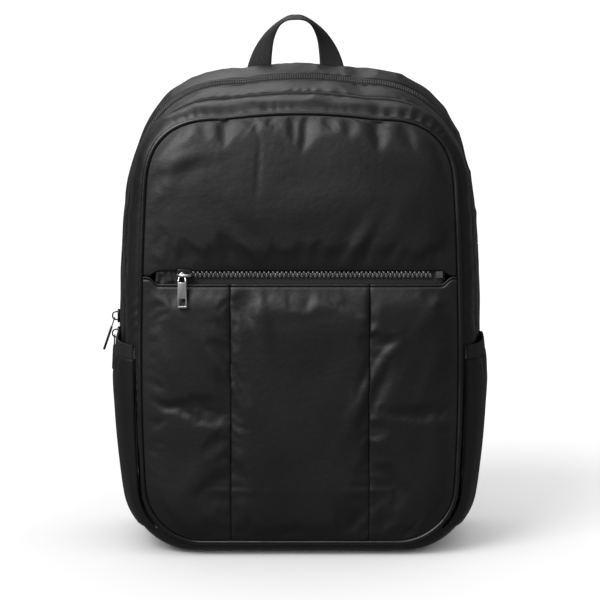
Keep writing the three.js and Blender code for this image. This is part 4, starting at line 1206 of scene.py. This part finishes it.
# %% Side pockets and their bands
POCKET = {"top": 186.0, "band": 12.0, "foot": 24.0, "bulge": 7.0, "clear": 1.3, "front": -0.478, "back": 0.048}
MOUTH_DRAW, MOUTH_REACH, SWELL_LEAD, BAND_WALL = 0.36, 45.0, 0.85, 2.0


def pocket_out(depth, z):
    """The pocket's inner face: the bag's edge, a clearance, and a swell that the band draws in at the mouth."""
    share = np.clip((depth - POCKET["front"]) / (POCKET["back"] - POCKET["front"]), 0, 1) ** SWELL_LEAD
    rise = np.clip((z - POCKET["foot"]) / (POCKET["top"] - POCKET["foot"]), 0, 1)
    near = np.clip((z - POCKET["top"] + MOUTH_REACH) / MOUTH_REACH, 0, 1)
    swell = np.sin(np.pi * share) ** 0.7 * np.sin(rise * np.pi / 2) * (1 - MOUTH_DRAW * near**2)
    return edge_at(section_at(depth), z) + POCKET["clear"] + POCKET["bulge"] * swell


def side_pocket(name, side, low, high, thick, bulge, seed):
    """A skin from low to high: an outer face with gathers and a slack belly, and an inner face behind it."""
    d = np.linspace(POCKET["front"], POCKET["back"], 70)[:, None]
    z = np.concatenate([np.linspace(low, high, 64), np.linspace(high, low, 8)])
    outer = np.arange(len(z)) < 64
    share = (d - POCKET["front"]) / (POCKET["back"] - POCKET["front"])
    inside = np.sin(np.pi * share) ** 0.8
    flat = grid_of(0, d * BAG_DEPTH, z)
    belly = bulge * inside * np.sin(np.pi * np.clip((z - low) / (high - low), 0, 1)) ** 0.8
    gathers = 0.9 * inside * np.sin(d * BAG_DEPTH / 2.4 + 2 * cloud(flat, 20.0, seed)) * bell(high - z, 16)
    crease = 1.5 * cloud(flat, (1.0, 16.0, 40.0), seed + 1) + 1.2 * ridges(flat, (1.0, 20.0, 50.0), seed + 2)
    out = np.where(outer, thick + belly + (gathers + inside * crease * 0.6) * (bulge > 0), 0.0)
    x = side * (pocket_out(d, z) + out)
    return skin(name, grid_of(x, depth_at(d, z), z), wrap_across=True, caps=True)


mouth_low = POCKET["top"] - POCKET["band"]
for word, side in (("left", -1), ("right", 1)):
    cloth = side_pocket("side_pocket_cloth_" + word, side, POCKET["foot"], mouth_low - GAP, WALL, 2.0, 101)
    dress(cloth, nylon, "bag", "cloth", "side_pocket_" + word)
    mouth = side_pocket("pocket_band_tape_" + word, side, mouth_low, POCKET["top"], BAND_WALL, 0.0, 111)
    dress(mouth, webbing_cloth, "bag", "webbing", "pocket_band_" + word)

# %% [markdown]
# ## The padded back
# The back is foam under a spacer mesh, with sewn channels that let air through. It is one closed skin whose outer
# face swells between the channels, thin at its seam.

# %% Back padding
BACK_EDGE = {name: float(value) for name, value in section_at(0.5, -GAP).items()}
BACK_FRONT, BACK_PAD, BACK_DOME, CHANNEL = BAG_DEPTH / 2 + GAP, 5.0, 3.0, 3.4


def back_face(x, z):
    """The frame's back surface: a pad and a dome that fall off to the fourth power sideways."""
    half = edge_at(BACK_EDGE, z)
    sideways = 1 - np.minimum(np.abs(x) / half, 1) ** 4
    return BACK_FRONT + BACK_PAD / 2 + (BACK_PAD / 2 + BACK_DOME) * sideways * upright(BACK_EDGE, z)


def channels(x, z):
    """Sewn channels: one down the middle, and cross channels every 95 mm that stop short of the edges."""
    down = bell(x, 5.0) * ease(z, 40, 70) * ease(-z, -360, -330)
    cross = sum(bell(z - level - 0.0006 * x**2, 4.0) for level in (110.0, 205.0, 300.0))
    return np.maximum(down, cross * ease(-np.abs(x), -112, -96))


def back_padding():
    """An outer face with channels CHANNEL deep, and a flat inner face at the seam."""
    heights = np.concatenate([
        base_rows(BACK_EDGE, 24),
        np.linspace(BACK_EDGE["bottom"] + BACK_EDGE["base"], BACK_EDGE["top"] - BACK_EDGE["drop"], 90)[:-1],
        top_rows(BACK_EDGE, 50),
    ])
    share, outer = out_and_back(-1, 1, 130, 12)
    z = heights[:, None]
    x = edge_at(BACK_EDGE, z) * share
    seam = np.clip((1 - np.abs(share)) * 10, 0, 1)
    soft = 0.5 * cloud(grid_of(x, 0, z), 30.0, 121) * seam
    y = np.where(outer, back_face(x, z) - CHANNEL * channels(x, z) * seam + 1.0 * seam + soft, BACK_FRONT)
    return skin("back_padding", grid_of(x, y, z + crown_at(BACK_EDGE, x, z)), wrap_across=True, caps=True)


back_padding_piece = dress(back_padding(), mesh_cloth, "bag", "padding", "back_panel")

# %% [markdown]
# ## The haul handle
# A loop of flat webbing is sewn into the back seam. Its legs show their flat face to the front and it turns a
# quarter on the way up, so at the crown it lies flat. Two lines, one for each edge of the webbing, are drawn
# through the rows of a short table, and a thin woven profile is carried between them.

# %% The handle's webbing
HANDLE = {"width": 90.0, "rise": 46.0, "offset": -4.0, "setback": 2.0, "webbing": 25.0, "thick": 1.8}
HANDLE_ROWS = np.array([
    (1.0, 0.0, 0.0, 0.49, 0.0, 0.0),
    (0.93, 0.2, 0.04, 0.475, 0.24, -0.04),
    (0.82, 0.43, 0.1, 0.44, 0.52, -0.12),
    (0.64, 0.66, 0.2, 0.38, 0.71, -0.26),
    (0.4, 0.85, 0.36, 0.3, 0.85, -0.4),
    (0.16, 0.98, 0.46, 0.17, 0.925, -0.48),
    (0.0, 1.0, 0.48, 0.0, 0.94, -0.5),
])


def handle():
    """Webbing between an outer and an inner edge line, 1.8 mm thick with slightly rounded edges."""
    section = section_at(0.5 - HANDLE["setback"] / BAG_DEPTH)
    lines = []
    for x_column, rise_column, back_column in ((0, 1, 2), (3, 4, 5)):
        halves = []
        for side in (-1, 1):
            x = HANDLE["offset"] + side * HANDLE_ROWS[:, x_column] * HANDLE["width"] / 2
            foot = section["top"] + crown_at(section, x, section["top"]) + GAP
            y = BAG_DEPTH / 2 - HANDLE["setback"] + HANDLE_ROWS[:, back_column] * HANDLE["webbing"]
            z = foot + HANDLE_ROWS[:, rise_column] * HANDLE["rise"] - 1.5 * (HANDLE_ROWS[:, rise_column] == 0)
            halves.append(np.stack([x, y, z], axis=-1))
        lines.append(curve_through(np.concatenate([halves[0], halves[1][-2::-1]]), 260))
    outer, inner = lines
    width = outer - inner
    normal = unit(np.cross(unit(np.gradient((outer + inner) / 2, axis=0)), width))
    share, front = out_and_back(0, 1, 24, 24)
    side = np.where(front, 1, -1)
    edge = np.clip(np.minimum(share, 1 - share) / 0.06, 0, 1) ** 0.5
    rib = 0.12 * np.cos(share * np.pi * 2 * 7)
    thick = HANDLE["thick"] / 2 * (0.35 + 0.65 * edge) + rib * edge
    rings = inner[:, None] + width[:, None] * share[:, None] + normal[:, None] * (side * thick)[:, None]
    return skin("haul_handle_webbing", rings, wrap_across=True, caps=True)


dress(handle(), webbing_cloth, "bag", "webbing", "haul_handle")

# %% [markdown]
# ## Shoulder straps
# The straps are foam pads in mesh cloth with a bound edge. Each is a profile carried down a curve that stands off
# the back: full in the middle, with a groove of stitches inside the binding. Below it hang an adjuster and a
# webbing that runs to a tab in the bag's lower corner.

# %% Strap pads
STRAP_ROWS = np.array([
    (0.145, 0.93, 0.002, 0.86),
    (0.15, 0.89, 0.02, 0.92),
    (0.165, 0.81, 0.085, 1.0),
    (0.19, 0.7, 0.15, 1.0),
    (0.22, 0.57, 0.15, 0.98),
    (0.25, 0.46, 0.11, 0.88),
    (0.27, 0.39, 0.075, 0.66),
])
STRAP_PAD, STRAP_WIDTH, WEBBING_WIDTH, WEBBING_WALL = 8.0, 60.0, 25.0, 1.8


def off_back(x, z, clearance):
    """A point at a clearance from the frame's back."""
    return np.stack([x, back_face(x, z) + GAP + clearance, z], axis=-1)


def strap_frames(line):
    """For each point of a line: its direction, the direction across the back, and the one away from it."""
    along = unit(np.gradient(line, axis=0))
    across = unit(grid_of(along[:, 2], 0, -along[:, 0]))
    return along, across, np.cross(along, across)


def carried(name, line, widths, share, height, drape):
    """A profile of across shares and heights along a line, laid on the back where it would sink into it."""
    _, across, out = strap_frames(line)
    out = out * np.where(out[:, 1:2] < 0, -1, 1)
    sideways = across[:, None] * (share[None, :, None] * widths[:, None, None] / 2)
    rings = line[:, None] + sideways + out[:, None] * height[..., None]
    floor = back_face(rings[..., 0], rings[..., 2]) + GAP + drape + height
    rings[..., 1] = np.maximum(rings[..., 1], floor)
    return skin(name, rings, wrap_across=True, caps=True)


def strap_line(side):
    """The strap's middle line and its widths."""
    x, z = side * STRAP_ROWS[:, 0] * BAG_WIDTH, STRAP_ROWS[:, 1] * BAG_HEIGHT
    line = curve_through(off_back(x, z, STRAP_PAD / 2 + STRAP_ROWS[:, 2] * BAG_DEPTH), 150)
    widths = curve_through(STRAP_ROWS[:, 3:4], 150)[:, 0] * STRAP_WIDTH
    return line, widths


def strap_pad(name, side):
    """A crowned pad: height 4 (1-|s|^6)^0.5 with a bound edge bead and a stitched groove at 0.84 of the width."""
    line, widths = strap_line(side)
    s, outer = out_and_back(-1, 1, 44, 44)
    face = np.where(outer, 1, -1)
    body = (1 - np.abs(s) ** 6) ** 0.5
    groove = bell(np.abs(s) - 0.84, 0.035)
    bead = 0.35 * bell(np.abs(s) - 0.94, 0.05)
    height = STRAP_PAD / 2 * np.clip(body * (1 - 0.38 * groove) + bead * body, 0, 1.05)
    soft = 0.25 * cloud(line, 18.0, 131)[:, None] * body
    return carried(name, line, widths, s, face * (height + soft), STRAP_PAD / 2)


def flat_webbing(name, line, widths, thick):
    """Thin woven tape with ribs along it and rounded edges, laid on the back where it touches."""
    s, outer = out_and_back(-1, 1, 22, 22)
    face = np.where(outer, 1, -1)
    edge = np.clip((1 - np.abs(s)) / 0.1, 0, 1) ** 0.5
    height = face * (thick / 2 * (0.3 + 0.7 * edge) + 0.1 * np.cos(s * np.pi * 6) * edge)
    return carried(name, line, widths, s, np.broadcast_to(height, (len(line), len(s))), thick / 2)


# %% [markdown]
# ## What hangs below a pad
# A ladder-shaped adjuster sits at the end of the pad, square to it. Webbing runs from it to a tab near the lower
# corner, and both lie on the back where they would otherwise sink into it.

# %% Adjusters, webbing and tabs
ADJUSTER = {"width": 34.0, "height": 22.0, "thick": 4.0, "bar": 4.0}
ANCHOR, ANCHOR_CORNER = (0.35, 0.135), (0.388, 0.07)
TAB = {"width": 32.0, "thick": 2.2}

for word, side in (("left", -1), ("right", 1)):
    pad = dress(strap_pad("strap_pad_" + word, side), mesh_cloth, "bag", "padding", "shoulder_strap_" + word)
    line, _ = strap_line(side)
    along, across, _ = strap_frames(line)
    down, wide = along[-1], across[-1] * np.sign(across[-1][0])
    out = np.cross(wide, -down)
    reach = ADJUSTER["height"] / 2 + GAP
    buckle = line[-1] + down * reach
    slot_height = (ADJUSTER["height"] - 3 * ADJUSTER["bar"]) / 2
    slot_width = ADJUSTER["width"] - 2 * ADJUSTER["bar"]
    slot_rise = (slot_height + ADJUSTER["bar"]) / 2
    slots = [rounded(slot_width, slot_height, 1.0, (0, row * slot_rise)) for row in (-1, 1)]
    shape = [rounded(ADJUSTER["width"], ADJUSTER["height"], 3.0)] + slots
    ladder = plate("strap_adjuster_frame_" + word, shape, ADJUSTER["thick"], 0.7,
                   place(Vector(wide), Vector(-down), Vector(out), buckle))
    dress(ladder, buckle_nylon, "bag", "buckle", "strap_adjuster_" + word)

    foot = off_back(side * ANCHOR[0] * BAG_WIDTH, ANCHOR[1] * BAG_HEIGHT, WEBBING_WALL / 2)
    corner = off_back(side * ANCHOR_CORNER[0] * BAG_WIDTH, ANCHOR_CORNER[1] * BAG_HEIGHT, TAB["thick"] / 2)
    start = buckle + down * (reach + WEBBING_WALL)
    middle = (start + foot) / 2 + np.array([0, 3.0, 0])
    tail = curve_through([start, middle, foot], 80)
    webbing = flat_webbing("strap_webbing_tape_" + word, tail, np.full(80, WEBBING_WIDTH), WEBBING_WALL)
    dress(webbing, webbing_cloth, "bag", "webbing", "strap_webbing_" + word)

    run = (corner - foot) / np.linalg.norm(corner - foot)
    tab_line = np.linspace(foot + run * 2 * WEBBING_WALL, corner, 30)
    tab_widths = np.linspace(WEBBING_WIDTH, TAB["width"], 30)
    tab = flat_webbing("anchor_tab_cloth_" + word, tab_line, tab_widths, TAB["thick"])
    dress(tab, nylon, "bag", "cloth", "anchor_tab_" + word)

# %% [markdown]
# ## The studio
# The bag stands on a pale floor that runs off into a pale room. A wide sun from the upper left lights the floor
# and casts the soft shadow on the right. Two square lights are seen only in reflections and draw the satin sheen,
# and the room is dimmer in reflections than it is as light. The camera stands a little above the bag, far away,
# so that its outline is nearly a true front view.

# %% Floor, lights and camera
def stage_floor():
    """A flat grid under the bag."""
    reach = np.linspace(-16000, 16000, 3)
    floor = skin("studio_floor", grid_of(reach[:, None], reach, -0.05), facing=(0, 0, 1))
    material, _, _ = new_finish("studio_floor", (0.93, 0.93, 0.93), 0.9, Specular_IOR_Level=0.0)
    floor.data.materials.append(material)
    floor.visible_glossy = False


def aim(name, light, place_m, target_m):
    """Puts a light at a place, turned to a target, and hides it from the camera."""
    holder = link(name, light)
    holder.location = place_m
    holder.rotation_euler = (Vector(target_m) - Vector(place_m)).to_track_quat("-Z", "Y").to_euler()
    holder.visible_camera = False
    return holder


def soft_sun(name, place_m, spread_degrees, strength):
    """A distant light as wide as a large diffuser, which lights the whole floor evenly."""
    light = bpy.data.lights.new(name, "SUN")
    light.angle = math.radians(spread_degrees)
    light.energy = strength
    aim(name, light, place_m, (0, 0, 0))


def sheen_light(name, place_m, target_m, size, power):
    """A square diffuser seen only in reflections, which draws the satin sheen without brightening the floor."""
    light = bpy.data.lights.new(name, "AREA")
    light.shape = "SQUARE"
    light.size = size
    light.energy = power
    aim(name, light, place_m, target_m).visible_diffuse = False


def pale_room(diffuse, reflected):
    """A white room whose reflections are dimmer than its light, as if black cards stood round the camera."""
    world = bpy.data.worlds.new("pale_room")
    world.use_nodes = True
    tree = world.node_tree
    path = node(tree, "ShaderNodeLightPath")
    strength = spread(tree, path.outputs["Is Glossy Ray"], diffuse, reflected)
    tree.links.new(strength, tree.nodes["Background"].inputs["Strength"])
    tree.nodes["Background"].inputs["Color"].default_value = (1, 1, 1, 1)
    bpy.context.scene.world = world


stage_floor()
pale_room(0.93, 0.17)
soft_sun("key", (-1.0, -1.1, 1.5), 30.0, 1.25)
sheen_light("front_sheen", (-0.8, -1.2, 1.3), (0, 0, 0.32), 0.9, 50)
sheen_light("top_sheen", (-0.4, 0.9, 1.6), (0, 0, 0.35), 1.2, 14)
bpy.context.scene.view_settings.view_transform = "Standard"

ELEVATION, DISTANCE, LOOK_HEIGHT, VIEW_MM, SENSOR = math.radians(9.0), 2.2, 0.215, 533.4, 36
camera_data = bpy.data.cameras.new("camera")
camera_data.sensor_width = SENSOR
camera_data.lens = SENSOR * DISTANCE / (VIEW_MM * MM)
camera = link("camera", camera_data)
camera.location = (0, -DISTANCE * math.cos(ELEVATION), LOOK_HEIGHT + DISTANCE * math.sin(ELEVATION))
camera.rotation_euler = (math.radians(90) - ELEVATION, 0, 0)
bpy.context.scene.camera = camera
print("pieces", len(made), "faces before modifiers", sum(made.values()))
